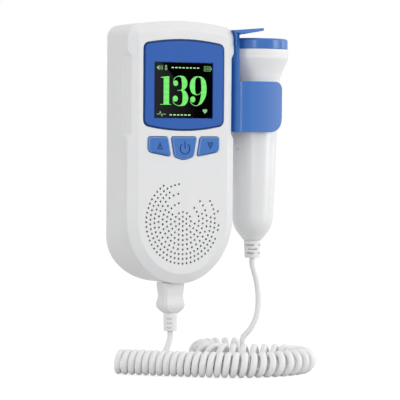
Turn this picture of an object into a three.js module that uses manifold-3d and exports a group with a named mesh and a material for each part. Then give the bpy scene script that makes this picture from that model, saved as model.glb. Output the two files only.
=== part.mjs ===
// Handheld fetal doppler monitor with its clip-on probe holder, its probe and the curly lead.
// Millimetres. X runs to the right, Y to the back and Z up. The origin lies on the flat back of
// the unit, on its centre line, at the point where it is held.
import * as THREE from 'three';
import { mergeVertices } from 'three/addons/utils/BufferGeometryUtils.js';
import Module from 'manifold-3d';

const wasm = await Module();
wasm.setup();

// Fits
const clearance = 0.3;
const overrun = 1;

// Front stack, from the face to the battery bay
const frontWall = 2;
const displayThickness = 2.5;
const displayToBoard = 1;
const boardThickness = 1.6;
const boardToBay = 1.1;
const bayWall = 1.2;
const cellDiameter = 14.5;
const cellToBack = 2.5;

// Case outline
const bodyWidth = 62.8;
const crownAboveOrigin = 36;
const crownRise = 3.4;
const shoulderRadius = 6;
const frontTailHeight = 34;
const rearTailHeight = 23.7;
const sideWall = 2;
const rearWall = 2.4;
const coverDepth = 5.6;
const bevelWidth = 5.1;
const bevelDepth = 2.4;
const rimSoftening = 0.5;
const rearEdgeRadius = 4.5;

// Display
const bezelDrop = 9.4;
const bezelWidth = 47.6;
const bezelHeight = 46.2;
const bezelTopBow = 2.3;
const bezelFootBow = 2.7;
const bezelCorner = 3.5;
const bezelThickness = 1.2;
const bezelProud = 0.3;
const windowWidth = 34.2;
const windowHeight = 28;
const windowDrop = 11.8;
const lensThickness = 1;
const lensLedge = 1.3;
const displayMargin = 2.9;

// Keys
const keyGap = 2.9;
const keyCorner = 0.9;
const keyFootCorner = 1.8;
const keyProud = 0.7;
const keyTravel = 0.5;
const keyFlange = 0.6;
const keyFlangeThickness = 0.8;
const powerKeyTop = 15;
const powerKeyFoot = 11;
const powerKeySide = 10.6;
const powerKeyTip = 11.8;
const sideKeyReach = 20.9;
const sideKeyTopInner = 9.5;
const sideKeyFootInner = 7.6;
const sideKeyInnerHeight = 10.4;
const sideKeyOuterHeight = 8;
const plungerDiameter = 3.4;
const plungerFit = 0.2;
const switchWidth = 6;
const switchHeight = 1.4;

// Speaker
const speakerDrop = 43.1;
const speakerAboveTail = 32;
const holePitch = 2.405;
const holeDiameter = 0.9;
const speakerDiameter = 40;
const feltDiameter = 45;
const feltThickness = 0.4;
const basketDepth = 2.8;
const basketRim = 3;
const basketFloor = 0.9;
const magnetDiameter = 18;
const magnetThickness = 1.6;
const coneDepth = 1.5;
const coneThickness = 0.5;
const dustCapDiameter = 12;

// Battery
const cellLength = 50.5;
const nubDiameter = 5.5;
const nubHeight = 1;
const cellSpacing = 0.5;
const springHeight = 3.2;
const springWire = 0.6;
const springTurns = 3;
const springFootDiameter = 8.5;
const springHeadDiameter = 5;
const contactThickness = 0.4;
const contactWidth = 11;
const bayAboveTail = 17;
const doorLedge = 1.5;
const doorThickness = 1.2;
const doorCorner = 2;
const doorHingeCorner = 0.5;
const doorPinDiameter = 0.9;
const doorPinLength = 1.2;
const doorPinFit = 0.15;
const doorNotchRadius = 6;
const doorNotchDepth = 0.4;

// Screws and bosses
const caseBossDiameter = 6;
const caseBossX = 24;
const caseBossTopDrop = 9.5;
const caseBossSpan = 78.5;
const caseScrewDiameter = 2.2;
const caseScrewHead = 4.4;
const caseScrewHeadHeight = 1.8;
const caseScrewDepth = 6;
const caseScrewLength = 15;
const bossJointShare = 0.5;
const boardBossDiameter = 3.6;
const boardScrewDiameter = 1.6;
const boardScrewHead = 3.4;
const boardScrewHeadHeight = 1;
const boardScrewLength = 4.4;
const boardEdge = 0.7;
const boardWidth = 44;

// Side recesses that take the holder
const recessDrop = 18.3;
const recessHeight = 38.9;
const recessRamp = 2.2;
const recessRearReach = 1.8;
const recessSideCut = 1.9;
const recessFrontReach = 1.5;

// Probe holder
const plate = 1.8;
const cuffProud = 0.7;
const cuffDrop = 29.9;
const cuffHeight = 26.8;
const cuffPastAxis = 6.8;
const cuffBend = 5;
const cuffTopCorner = 4;
const cuffFootCorner = 6.5;
const fingerPlateDepth = 18;
const tabLength = 16.1;
const tabOverhang = 2.4;
const tabThickness = 0.9;
const tabRootThickness = 2.1;
const tabRise = 1.5;
const tabDrop = 3.8;
const tabFillet = 1.2;
const keyPadEdge = 1.3;

// Probe
const headRadius = 18.2;
const gripRadius = 13.9;
const headHeight = 22.9;
const capHeight = 5.8;
const capEdge = 1.2;
const bulgeDrop = 3.4;
const probeWall = 1.8;
const gripLength = 75.8;
const gripMidDrop = 26.8;
const gripMidRadius = 12.5;
const gripFootRadius = 10.5;
const gripConeLength = 7.4;
const gripEndRadius = 4.7;
const faceRadius = 14;
const faceDome = 0.2;
const faceThickness = 1.4;
const crystalRadius = 9;
const crystalSlit = 0.8;
const crystalThickness = 1;
const backingThickness = 5;
const backingRadius = 12;
const probeBoardLength = 52;
const probeBoardThickness = 1.2;
const probeBoardDrop = 6;

// Probe strain relief
const probeReliefLength = 9.3;
const probeReliefRadius = 4.7;
const probeReliefEndRadius = 3.9;
const reliefGroove = 0.5;
const reliefGrooveWidth = 0.9;
const reliefGrooves = 3;
const reliefNeckRadius = 2.6;
const reliefFlangeRadius = 3.6;
const reliefFlangeThickness = 1.2;

// Plug and socket
const plugBehindFace = 12;
const plugWidth = 12.2;
const plugDepth = 9.2;
const plugLength = 15.5;
const plugCorner = 2.2;
const plugReliefLength = 9;
const plugReliefRadius = 3.3;
const plugReliefEndRadius = 3;
const tipWidth = 6.9;
const tipDepth = 3.1;
const tipLength = 8.3;
const tipFit = 0.4;
const socketWall = 1;
const socketLength = 9;
const socketSeat = 1.3;

// Lead
const wireDiameter = 3;
const coilRadius = 5;
const coilHeight = -135.5;
const coilLayAngle = -31.5;
const coilStartRun = -17.7;
const coilStartRow = -38.5;
const coilStartHeading = -15;
const coilFirstRun = 34;
const coilSweepRadius = 100;
const coilCurveRadius = 40;
const coilCurveAngle = 52;
const coilBend = 15.5;
const coilBackRun = 21.2;
const coilLastRun = 6.5;
const closedPitch = 3.6;
const closedLength = 45;
const openPitch = 5.25;
const openLength = 98;
const stepsPerCurl = 8;
const curlSides = 5;
const leadSides = 8;
const plugLeadSteps = 15;
const probeLeadSteps = 18;
const gapWanted = 0.4;

// Middle of the two straight leads, each point as [run, row, height] in the coil's lay.
// Their ends come from the plug, the coil and the probe.
const plugLeadMiddle = [
  [5.7, -14.5, -132.3],
  [2, -17, -137],
  [-3.5, -19.6, -140],
  [-9, -22.3, -140.5],
  [-13.8, -26, -140.5],
];
const probeLeadMiddle = [
  [50, 15.8, -123.6],
  [52.6, 16.2, -118.1],
  [53.8, 16.5, -111.5],
  [53.6, 16.8, -104],
  [52.6, 17, -97.7],
];

// Levels and planes that several pieces share
const halfWidth = bodyWidth / 2;
const bodyDepth = frontWall + clearance + displayThickness + displayToBoard + boardThickness
  + boardToBay + bayWall + clearance + cellDiameter + cellToBack;
const frontY = -bodyDepth;
const crownZ = crownAboveOrigin;
const bezelTopZ = crownZ - bezelDrop;
const bezelFootZ = bezelTopZ - bezelHeight;
const keyTopZ = bezelFootZ - keyGap;
const speakerZ = keyTopZ - speakerDrop;
const tailZ = speakerZ - speakerAboveTail;
const partingY = frontY + coverDepth;
const innerFrontY = frontY + frontWall;
const windowTopZ = bezelTopZ - windowDrop;
const windowZ = windowTopZ - windowHeight / 2;
const boardFrontY = innerFrontY + clearance + displayThickness + displayToBoard;
const boardRearY = boardFrontY + boardThickness;
const bayFrontY = boardRearY + boardToBay;
const bayFloorY = bayFrontY + bayWall;
const cellY = bayFloorY + clearance + cellDiameter / 2;
const cellX = (cellDiameter + cellSpacing) / 2;
const bayHalfWidth = cellX + cellDiameter / 2 + clearance;
const bayLength = cellLength + springHeight + 2 * contactThickness + 5 * clearance;
const bayFootZ = tailZ + bayAboveTail;
const bayTopZ = bayFootZ + bayLength;
const crownRadius = (halfWidth ** 2 + crownRise ** 2) / (2 * crownRise);
const caseBossTopZ = crownZ - caseBossTopDrop;
const caseBossFootZ = caseBossTopZ - caseBossSpan;
const bossJointY = frontY * bossJointShare;
const cuffTopZ = crownZ - cuffDrop;
const cuffFootZ = cuffTopZ - cuffHeight;
const holderLeft = halfWidth + clearance;
const probeX = holderLeft + plate + clearance + headRadius;
const probeY = frontY - cuffProud + plate + clearance + gripRadius;
const plugY = frontY + plugBehindFace;

// Finishes
const finish = (color, roughness, metalness = 0) =>
  new THREE.MeshStandardMaterial({ color, roughness, metalness });
const whiteAbs = () => finish('#e6e7e8', 0.45);
const blueAbs = () => finish('#3f70c0', 0.4);
const softWhite = () => finish('#e2e3e4', 0.55);
const steel = () => finish('#b9bcc0', 0.35, 1);
const boardGreen = () => finish('#1f6b44', 0.6);
const darkPlastic = () => finish('#23262b', 0.5);

const model = new THREE.Group();

// Closed geometry with shared corners, no empty triangles and its faces out
function weld(geometry) {
  const source = geometry.index ? geometry : geometry.clone();
  for (const name of Object.keys(source.attributes)) {
    if (name !== 'position') source.deleteAttribute(name);
  }
  const merged = mergeVertices(source);
  const index = [...merged.index.array];
  const position = merged.attributes.position;
  const kept = [];
  let volume = 0;
  for (let i = 0; i < index.length; i += 3) {
    const [a, b, c] = index.slice(i, i + 3);
    if (a === b || b === c || c === a) continue;
    kept.push(a, b, c);
    const [p, q, r] = [a, b, c].map((k) => new THREE.Vector3().fromBufferAttribute(position, k));
    volume += p.dot(q.cross(r));
  }
  if (volume < 0) kept.reverse();
  merged.setIndex(kept);
  return merged;
}

function solid(geometry) {
  const welded = weld(geometry);
  return new wasm.Manifold(new wasm.Mesh({
    numProp: 3,
    vertProperties: new Float32Array(welded.attributes.position.array),
    triVerts: new Uint32Array(welded.index.array),
  }));
}

function geometryOf(body) {
  const mesh = body.getMesh();
  const geometry = new THREE.BufferGeometry();
  geometry.setAttribute('position', new THREE.BufferAttribute(mesh.vertProperties, 3));
  geometry.setIndex([...mesh.triVerts]);
  return geometry;
}

function addPiece(name, shape, material) {
  const geometry = shape.isBufferGeometry ? weld(shape) : geometryOf(shape);
  geometry.computeVertexNormals();
  const mesh = new THREE.Mesh(geometry, material);
  mesh.name = name;
  model.add(mesh);
}

const joinAll = (bodies) => bodies.reduce((whole, body) => whole.add(body));
const cutAll = (body, cutters) => cutters.reduce((whole, cutter) => whole.subtract(cutter), body);

// Skin over rings of equal point count, with flat ends
function loft(rings) {
  const count = rings[0].length;
  const positions = rings.flat().flatMap((p) => [p.x, p.y, p.z]);
  const index = [];
  for (let ring = 0; ring < rings.length - 1; ring++) {
    for (let i = 0; i < count; i++) {
      const a = ring * count + i;
      const b = ring * count + (i + 1) % count;
      index.push(a, b, a + count, b, b + count, a + count);
    }
  }
  const last = (rings.length - 1) * count;
  for (let i = 1; i < count - 1; i++) {
    index.push(0, i + 1, i, last, last + i, last + i + 1);
  }
  const geometry = new THREE.BufferGeometry();
  geometry.setAttribute('position', new THREE.Float32BufferAttribute(positions, 3));
  geometry.setIndex(index);
  return geometry;
}

// Polygon with each corner given as [x, z, radius]
function roundedOutline(corners, steps = 4) {
  const points = [];
  corners.forEach(([x, z, radius], i) => {
    const here = new THREE.Vector2(x, z);
    if (!radius) {
      points.push(here);
      return;
    }
    const before = corners.at(i - 1);
    const after = corners[(i + 1) % corners.length];
    const back = new THREE.Vector2(before[0], before[1]).sub(here);
    const ahead = new THREE.Vector2(after[0], after[1]).sub(here);
    const reach = Math.min(radius, back.length() / 2, ahead.length() / 2);
    const start = here.clone().addScaledVector(back.normalize(), reach);
    const end = here.clone().addScaledVector(ahead.normalize(), reach);
    const curve = new THREE.QuadraticBezierCurve(start, here, end);
    points.push(...curve.getPoints(steps));
  });
  return points;
}

// The same polygon with every edge moved out by a margin
function grow(corners, margin) {
  const turn = Math.sign(THREE.ShapeUtils.area(corners.map(([x, z]) => new THREE.Vector2(x, z))));
  return corners.map(([x, z, radius], i) => {
    const before = corners.at(i - 1);
    const after = corners[(i + 1) % corners.length];
    const into = new THREE.Vector2(x - before[0], z - before[1]).normalize();
    const out = new THREE.Vector2(after[0] - x, after[1] - z).normalize();
    const normal = new THREE.Vector2(into.y + out.y, -into.x - out.x).normalize();
    const share = normal.dot(new THREE.Vector2(into.y, -into.x));
    const shift = turn * margin / share;
    return [x + normal.x * shift, z + normal.y * shift, radius ? radius + margin : 0];
  });
}

// Plate drawn in X and Z, from the nearer to the further Y
function plateXZ(points, nearY, farY, holes = []) {
  const shape = new THREE.Shape(points);
  shape.holes = holes.map((hole) => new THREE.Path(hole));
  const geometry = new THREE.ExtrudeGeometry(shape, { depth: farY - nearY, bevelEnabled: false });
  return geometry.rotateX(Math.PI / 2).translate(0, farY, 0);
}

// Plate drawn in X and Y, from the lower to the higher Z
function plateXY(points, lowZ, highZ) {
  const depth = highZ - lowZ;
  const geometry = new THREE.ExtrudeGeometry(new THREE.Shape(points), { depth, bevelEnabled: false });
  return geometry.translate(0, 0, lowZ);
}

function box(lowX, highX, lowY, highY, lowZ, highZ) {
  const geometry = new THREE.BoxGeometry(highX - lowX, highY - lowY, highZ - lowZ);
  return geometry.translate((lowX + highX) / 2, (lowY + highY) / 2, (lowZ + highZ) / 2);
}

// Round bar along Y between two planes
function barY(x, z, radius, nearY, farY, sides = 16) {
  const geometry = new THREE.CylinderGeometry(radius, radius, farY - nearY, sides);
  return geometry.translate(x, (nearY + farY) / 2, z);
}

// Turned piece about an upright axis, from [radius, height] points
function turnedZ(x, y, points, sides) {
  const profile = points.map(([radius, height]) => new THREE.Vector2(radius, height));
  return new THREE.LatheGeometry(profile, sides).rotateX(Math.PI / 2).translate(x, y, 0);
}

// Turned piece about an axis along Y, from [radius, y] points
function turnedY(x, z, points, sides) {
  const profile = points.map(([radius, y]) => new THREE.Vector2(radius, y));
  return new THREE.LatheGeometry(profile, sides).translate(x, 0, z);
}

// Outline of the case, drawn in by an inset: arched crown, round shoulders and an oval tail,
// which is fuller at the back than at the front
function caseOutline(inset, tailHeight) {
  const half = halfWidth - inset;
  const arch = crownRadius - inset;
  const shoulder = Math.max(shoulderRadius - inset, shoulderRadius / 4);
  const archZ = crownZ - crownRadius;
  const shoulderX = half - shoulder;
  const shoulderZ = archZ + Math.sqrt((arch - shoulder) ** 2 - shoulderX ** 2);
  const lean = Math.asin(shoulderX / (arch - shoulder));
  const shoulderSteps = 4;
  const crownSteps = 10;
  const tailSteps = 24;
  const points = [];
  for (let i = 0; i <= shoulderSteps; i++) {
    const angle = (Math.PI / 2 - lean) * i / shoulderSteps;
    points.push([shoulderX + shoulder * Math.cos(angle), shoulderZ + shoulder * Math.sin(angle)]);
  }
  for (let i = 1; i < crownSteps; i++) {
    const angle = lean * (1 - 2 * i / crownSteps);
    points.push([arch * Math.sin(angle), archZ + arch * Math.cos(angle)]);
  }
  for (let i = shoulderSteps; i >= 0; i--) {
    const angle = (Math.PI / 2 - lean) * i / shoulderSteps;
    points.push([-shoulderX - shoulder * Math.cos(angle), shoulderZ + shoulder * Math.sin(angle)]);
  }
  const tail = tailHeight - inset;
  for (let i = 0; i <= tailSteps; i++) {
    const angle = Math.PI * (1 + i / tailSteps);
    points.push([half * Math.cos(angle), tailZ + tailHeight + tail * Math.sin(angle)]);
  }
  return points;
}

// Skin through case outlines at [y, inset, tail height] levels
const caseLoft = (levels) => solid(loft(levels.map(([y, inset, tailHeight = frontTailHeight]) =>
  caseOutline(inset, tailHeight).map(([x, z]) => new THREE.Vector3(x, y, z)))));

// Wedge-shaped cutter for one side recess: it leaves a sloping seat across the front edge
const recessRearY = partingY + recessRearReach;
const recessFrontX = halfWidth - recessSideCut;
const recessFrontY = frontY + recessFrontReach;

function recessCutter(side) {
  const outX = halfWidth + overrun + recessSideCut;
  const section = (shift) => [
    [halfWidth + shift, recessRearY + shift],
    [recessFrontX + shift, recessFrontY],
    [recessFrontX + shift, frontY - overrun],
    [outX, frontY - overrun],
    [outX, recessRearY + shift],
  ];
  const topZ = crownZ - recessDrop;
  const footZ = topZ - recessHeight;
  const levels = [
    [footZ - recessRamp, recessSideCut],
    [footZ, 0],
    [topZ, 0],
    [topZ + recessRamp, recessSideCut],
  ];
  return solid(loft(levels.map(([z, shift]) =>
    section(shift).map(([x, y]) => new THREE.Vector3(side * x, y, z)))));
}

const recessCutters = [recessCutter(1), recessCutter(-1)];
const caseBosses = [];
for (const z of [caseBossTopZ, caseBossFootZ]) {
  for (const side of [-1, 1]) caseBosses.push([side * caseBossX, z]);
}

// Display opening, bezel and lens share this outline
function bezelCorners() {
  const half = bezelWidth / 2;
  const steps = 6;
  const corners = [];
  for (let i = 0; i <= steps; i++) {
    const share = 1 - 2 * i / steps;
    const corner = i === 0 || i === steps ? bezelCorner : 0;
    corners.push([half * share, bezelTopZ - bezelTopBow * share ** 2, corner]);
  }
  for (let i = 0; i <= steps; i++) {
    const share = 2 * i / steps - 1;
    const corner = i === 0 || i === steps ? bezelCorner : 0;
    corners.push([half * share, bezelFootZ + bezelFootBow * share ** 2, corner]);
  }
  return corners;
}

const rectangle = (lowX, highX, lowZ, highZ, radius = 0) => [
  [highX, highZ, radius], [lowX, highZ, radius], [lowX, lowZ, radius], [highX, lowZ, radius],
];

const windowCorners = rectangle(-windowWidth / 2, windowWidth / 2,
  windowZ - windowHeight / 2, windowZ + windowHeight / 2);
const bezelFrontY = frontY - bezelProud;
const bezelRearY = bezelFrontY + bezelThickness;
const bezelSeatY = bezelRearY + clearance;

// Key outlines, drawn from the key row's top edge
const powerKeyCorners = [
  [powerKeyTop / 2, keyTopZ, keyCorner],
  [-powerKeyTop / 2, keyTopZ, keyCorner],
  [-powerKeyFoot / 2, keyTopZ - powerKeySide, keyFootCorner],
  [0, keyTopZ - powerKeyTip, keyFootCorner],
  [powerKeyFoot / 2, keyTopZ - powerKeySide, keyFootCorner],
];

const sideKeyCorners = (side) => [
  [side * sideKeyReach, keyTopZ, keyCorner],
  [side * sideKeyTopInner, keyTopZ, keyCorner],
  [side * sideKeyFootInner, keyTopZ - sideKeyInnerHeight, keyFootCorner],
  [side * sideKeyReach, keyTopZ - sideKeyOuterHeight, keyFootCorner],
];

const sideKeyX = (sideKeyReach + (sideKeyTopInner + sideKeyFootInner) / 2) / 2;
const sideKeyZ = keyTopZ - (sideKeyInnerHeight + sideKeyOuterHeight) / 4;
const powerKeyZ = keyTopZ - powerKeyTip / 2;
const keys = [
  { name: 'up', corners: sideKeyCorners(-1), x: -sideKeyX, z: sideKeyZ },
  { name: 'power', corners: powerKeyCorners, x: 0, z: powerKeyZ },
  { name: 'down', corners: sideKeyCorners(1), x: sideKeyX, z: sideKeyZ },
];

// Loudspeaker holes on rings round the centre. A feathered patch above the centre to the right
// stays bare: for each ring from the inside out, the first and last angle of its bare arc.
const bareArcAngles = [
  [0, 0], [0, 0], [-61, 99], [-15, 45], [-49, 72], [-10.5, 45], [-28, 83], [-6.5, 57], [-32, 76],
];

function speakerHoles() {
  const places = [[0, speakerZ]];
  bareArcAngles.forEach(([bareFrom, bareTo], k) => {
    const radius = (k + 1) * holePitch;
    const count = Math.round(2 * Math.PI * (k + 1));
    for (let i = 0; i < count; i++) {
      const angle = 360 * i / count - 180;
      if (angle > bareFrom && angle < bareTo) continue;
      const turn = THREE.MathUtils.degToRad(angle);
      places.push([radius * Math.sin(turn), speakerZ + radius * Math.cos(turn)]);
    }
  });
  return places;
}

function speakerHoleCutters() {
  const positions = [];
  const index = [];
  const cutter = new THREE.CylinderGeometry(holeDiameter / 2, holeDiameter / 2,
    frontWall + 2 * overrun, 4);
  const piece = weld(cutter);
  for (const [x, z] of speakerHoles()) {
    const first = positions.length / 3;
    const place = piece.attributes.position;
    for (let i = 0; i < place.count; i++) {
      positions.push(place.getX(i) + x, place.getY(i) + frontY + frontWall / 2, place.getZ(i) + z);
    }
    index.push(...[...piece.index.array].map((k) => k + first));
  }
  const geometry = new THREE.BufferGeometry();
  geometry.setAttribute('position', new THREE.Float32BufferAttribute(positions, 3));
  geometry.setIndex(index);
  return solid(geometry);
}

// Front cover: bevelled face plate with the display seat, key openings and speaker holes
const boardTopZ = caseBossTopZ - caseBossDiameter / 2 - clearance - boardEdge;
const boardBossFootZ = keyTopZ - powerKeyTip - keyFlange - boardBossDiameter;
const boardFootZ = boardBossFootZ - boardBossDiameter / 2 - boardEdge;
const boardHalfWidth = boardWidth / 2;
const boardBossTopZ = boardTopZ - boardBossDiameter / 2 - boardEdge;
const boardBossTopX = windowWidth / 2;
const boardBossFootX = bayHalfWidth + bayWall + boardScrewHead / 2 + boardEdge;
const boardBosses = [
  [-boardBossTopX, boardBossTopZ], [boardBossTopX, boardBossTopZ],
  [-boardBossFootX, boardBossFootZ], [boardBossFootX, boardBossFootZ],
];
const bossSink = frontWall / 2;

function frontShell() {
  const softening = rimSoftening * 2;
  const outer = caseLoft([
    [partingY, 0],
    [frontY + bevelDepth + softening, 0],
    [frontY + bevelDepth - rimSoftening / 2, rimSoftening],
    [frontY, bevelWidth],
  ]);
  const cavity = caseLoft([
    [partingY + overrun, sideWall],
    [frontY + bevelDepth + softening, sideWall],
    [innerFrontY, bevelWidth + sideWall / 2],
  ]);
  const pillars = [
    ...caseBosses.map(([x, z]) =>
      solid(barY(x, z, caseBossDiameter / 2, innerFrontY - bossSink, bossJointY - clearance / 2))),
    ...boardBosses.map(([x, z]) =>
      solid(barY(x, z, boardBossDiameter / 2, innerFrontY - bossSink, boardFrontY - clearance, 12))),
  ];
  const pilots = [
    ...caseBosses.map(([x, z]) => solid(barY(x, z, caseScrewDiameter / 2 + clearance,
      innerFrontY, bossJointY + overrun, 12))),
    ...boardBosses.map(([x, z]) => solid(barY(x, z, boardScrewDiameter / 2 + clearance,
      innerFrontY, boardFrontY + overrun, 10))),
  ];
  const openings = [
    plateXZ(roundedOutline(grow(bezelCorners(), clearance)), frontY - overrun, bezelSeatY),
    plateXZ(roundedOutline(grow(windowCorners, -lensLedge)), frontY - overrun, innerFrontY + overrun),
    ...keys.map((key) => plateXZ(roundedOutline(grow(key.corners, clearance)),
      frontY - overrun, innerFrontY + overrun)),
  ].map(solid);
  const shell = joinAll([outer.subtract(cavity), ...pillars]);
  return cutAll(shell, [...pilots, ...openings, ...recessCutters, speakerHoleCutters()]);
}

// Rear shell: deep tub with the battery bay, the screw bosses, the door seat and the plug hole
const doorHalfWidth = bayHalfWidth + doorLedge;
const doorFootZ = bayFootZ - doorLedge;
const doorTopZ = bayTopZ + doorLedge;
const doorAxisZ = doorTopZ - doorThickness / 2;
const doorAxisY = -doorThickness / 2;
const doorSeatDepth = doorThickness + clearance + doorPinFit;

// The corners beside the pins are nearly square, so that the door clears its seat as it swings
const doorCorners = rectangle(-doorHalfWidth, doorHalfWidth, doorFootZ, doorTopZ, doorCorner)
  .map(([x, z, radius]) => [x, z, z === doorTopZ ? doorHingeCorner : radius]);

function doorPin(side, fit) {
  const length = doorPinLength + overrun + (fit ? clearance : 0);
  const pin = new THREE.CylinderGeometry(doorPinDiameter / 2 + fit, doorPinDiameter / 2 + fit, length, 10);
  pin.rotateZ(Math.PI / 2);
  return solid(pin.translate(side * (doorHalfWidth - overrun + length / 2), doorAxisY, doorAxisZ));
}

function rearShell() {
  const round = rearEdgeRadius;
  const edgeSteps = 3;
  const edge = Array.from({ length: edgeSteps + 1 }, (_, i) => {
    const angle = Math.PI / 2 * i / edgeSteps;
    return [-round * (1 - Math.sin(angle)), round * (1 - Math.cos(angle)), rearTailHeight];
  });
  const outer = caseLoft([[partingY + clearance, 0], ...edge]);
  const cavity = caseLoft([
    [partingY - overrun, sideWall],
    [-round, sideWall, rearTailHeight],
    [-rearWall, round, rearTailHeight],
  ]);
  const bosses = caseBosses.map(([x, z]) =>
    solid(barY(x, z, caseBossDiameter / 2, bossJointY + clearance / 2, -rearWall / 2)));
  const bayOuter = solid(box(-bayHalfWidth - bayWall, bayHalfWidth + bayWall, bayFrontY,
    -rearWall / 2, bayFootZ - bayWall, bayTopZ + bayWall));
  const bayInner = solid(box(-bayHalfWidth, bayHalfWidth, bayFloorY, overrun, bayFootZ, bayTopZ));
  const screwHoles = caseBosses.flatMap(([x, z]) => [
    solid(barY(x, z, caseScrewDiameter / 2 + clearance, bossJointY - overrun, overrun, 12)),
    solid(barY(x, z, caseScrewHead / 2 + clearance, -caseScrewDepth, overrun)),
  ]);
  const doorSeat = solid(plateXZ(roundedOutline(grow(doorCorners, clearance)), -doorSeatDepth, overrun));
  const plugHole = solid(box(-tipWidth / 2 - tipFit, tipWidth / 2 + tipFit, plugY - tipDepth / 2 - tipFit,
    plugY + tipDepth / 2 + tipFit, tailZ - overrun, tailZ + sideWall + overrun));
  const shell = joinAll([outer.subtract(cavity), ...bosses, bayOuter]);
  return cutAll(shell, [
    bayInner, ...screwHoles, doorSeat, doorPin(-1, doorPinFit), doorPin(1, doorPinFit),
    plugHole, ...recessCutters,
  ]);
}

function batteryDoor() {
  const panel = solid(plateXZ(roundedOutline(doorCorners), -doorThickness, 0));
  const notchZ = doorFootZ + doorNotchRadius + doorLedge;
  const notch = solid(barY(0, notchZ, doorNotchRadius, -doorNotchDepth, overrun, 20));
  return joinAll([panel, doorPin(-1, 0), doorPin(1, 0)]).subtract(notch);
}

addPiece('front_shell', frontShell(), whiteAbs());
addPiece('rear_shell', rearShell(), whiteAbs());
addPiece('battery_door', batteryDoor(), whiteAbs());

// Display
const windowPath = roundedOutline(grow(windowCorners, clearance));
addPiece('display_bezel',
  plateXZ(roundedOutline(bezelCorners()), bezelFrontY, bezelRearY, [windowPath]), blueAbs());
addPiece('display_lens',
  plateXZ(roundedOutline(windowCorners), bezelRearY - lensThickness, bezelRearY), darkPlastic());
const displayHalf = windowWidth / 2 + displayMargin;
const displayLowZ = windowZ - windowHeight / 2 - displayMargin;
const displayHighZ = windowZ + windowHeight / 2 + displayMargin;
const displayFrontY = innerFrontY + clearance;
const displayRearY = displayFrontY + displayThickness;
addPiece('lcd_module',
  box(-displayHalf, displayHalf, displayFrontY, displayRearY, displayLowZ, displayHighZ),
  finish('#3a3d42', 0.4, 0.4));

// Flat ribbon from the display's foot to the board
const ribbonThickness = clearance;
const ribbonWidth = windowWidth / 2;
const ribbonHeight = 3 * displayMargin;
addPiece('display_ribbon',
  box(-ribbonWidth / 2, ribbonWidth / 2, displayRearY + clearance,
    displayRearY + clearance + ribbonThickness, displayLowZ, displayLowZ + ribbonHeight),
  finish('#c98a3a', 0.5));

// Keys, each with the plunger that it presses and the switch round it
const keyRearY = innerFrontY + clearance + keyFlangeThickness;
const plungerFrontY = keyRearY + clearance;
const switchRearY = boardFrontY - clearance;
const switchFrontY = switchRearY - switchHeight;
const plungerRearY = switchRearY - keyTravel - plungerFit;

function keyCap(corners) {
  const cap = solid(plateXZ(roundedOutline(corners), frontY - keyProud, keyRearY));
  const flange = solid(plateXZ(roundedOutline(grow(corners, keyFlange)),
    keyRearY - keyFlangeThickness, keyRearY));
  return cap.add(flange);
}

for (const key of keys) {
  addPiece(`button_${key.name}`, keyCap(key.corners), blueAbs());
  addPiece(`switch_plunger_${key.name}`,
    barY(key.x, key.z, plungerDiameter / 2, plungerFrontY, plungerRearY, 12), darkPlastic());
  const half = switchWidth / 2;
  const housing = solid(box(key.x - half, key.x + half, switchFrontY, switchRearY,
    key.z - half, key.z + half));
  const bore = solid(barY(key.x, key.z, plungerDiameter / 2 + plungerFit,
    switchFrontY - overrun, switchRearY + overrun, 12));
  addPiece(`tact_switch_${key.name}`, housing.subtract(bore), steel());
}

// Main board and its screws
function mainBoard() {
  const panel = solid(box(-boardHalfWidth, boardHalfWidth, boardFrontY, boardRearY,
    boardFootZ, boardTopZ));
  const holes = boardBosses.map(([x, z]) => solid(barY(x, z, boardScrewDiameter / 2 + clearance,
    boardFrontY - overrun, boardRearY + overrun, 10)));
  return cutAll(panel, holes);
}

addPiece('main_pcb', mainBoard(), boardGreen());
boardBosses.forEach(([x, z], i) => {
  const seatY = boardRearY + clearance;
  addPiece(`board_screw_${i + 1}`, turnedY(x, z, [
    [0, seatY - boardScrewLength], [boardScrewDiameter / 2, seatY - boardScrewLength],
    [boardScrewDiameter / 2, seatY], [boardScrewHead / 2, seatY],
    [boardScrewHead / 2, seatY + boardScrewHeadHeight], [0, seatY + boardScrewHeadHeight],
  ], 12), steel());
});
caseBosses.forEach(([x, z], i) => {
  const seatY = -caseScrewDepth + clearance;
  addPiece(`case_screw_${i + 1}`, turnedY(x, z, [
    [0, seatY - caseScrewLength], [caseScrewDiameter / 2, seatY - caseScrewLength],
    [caseScrewDiameter / 2, seatY], [caseScrewHead / 2, seatY],
    [caseScrewHead / 2, seatY + caseScrewHeadHeight], [0, seatY + caseScrewHeadHeight],
  ], 12), steel());
});

// Loudspeaker: felt, basket, cone and magnet, one behind the other
const feltFrontY = innerFrontY + clearance;
const basketFrontY = feltFrontY + feltThickness + clearance;
const basketRearY = basketFrontY + basketDepth;
const coneRearY = basketRearY - basketFloor - clearance;
addPiece('speaker_felt',
  barY(0, speakerZ, feltDiameter / 2, feltFrontY, feltFrontY + feltThickness, 28),
  finish('#1c1d1f', 0.95));
addPiece('speaker_basket', turnedY(0, speakerZ, [
  [magnetDiameter / 4, basketRearY], [speakerDiameter / 2 - basketRim, basketRearY],
  [speakerDiameter / 2, basketFrontY + basketFloor], [speakerDiameter / 2, basketFrontY],
  [speakerDiameter / 2 - basketFloor, basketFrontY],
  [speakerDiameter / 2 - basketFloor, basketFrontY + basketFloor],
  [speakerDiameter / 2 - basketRim, basketRearY - basketFloor],
  [magnetDiameter / 4, basketRearY - basketFloor], [magnetDiameter / 4, basketRearY],
], 20), steel());
const coneEdge = speakerDiameter / 2 - basketRim - clearance;
addPiece('speaker_cone', turnedY(0, speakerZ, [
  [0, coneRearY - coneThickness], [dustCapDiameter / 2, coneRearY - coneThickness],
  [coneEdge, coneRearY - coneDepth], [coneEdge, coneRearY - coneDepth + coneThickness],
  [dustCapDiameter / 2, coneRearY], [0, coneRearY],
], 20), finish('#2b2420', 0.8));
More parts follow.
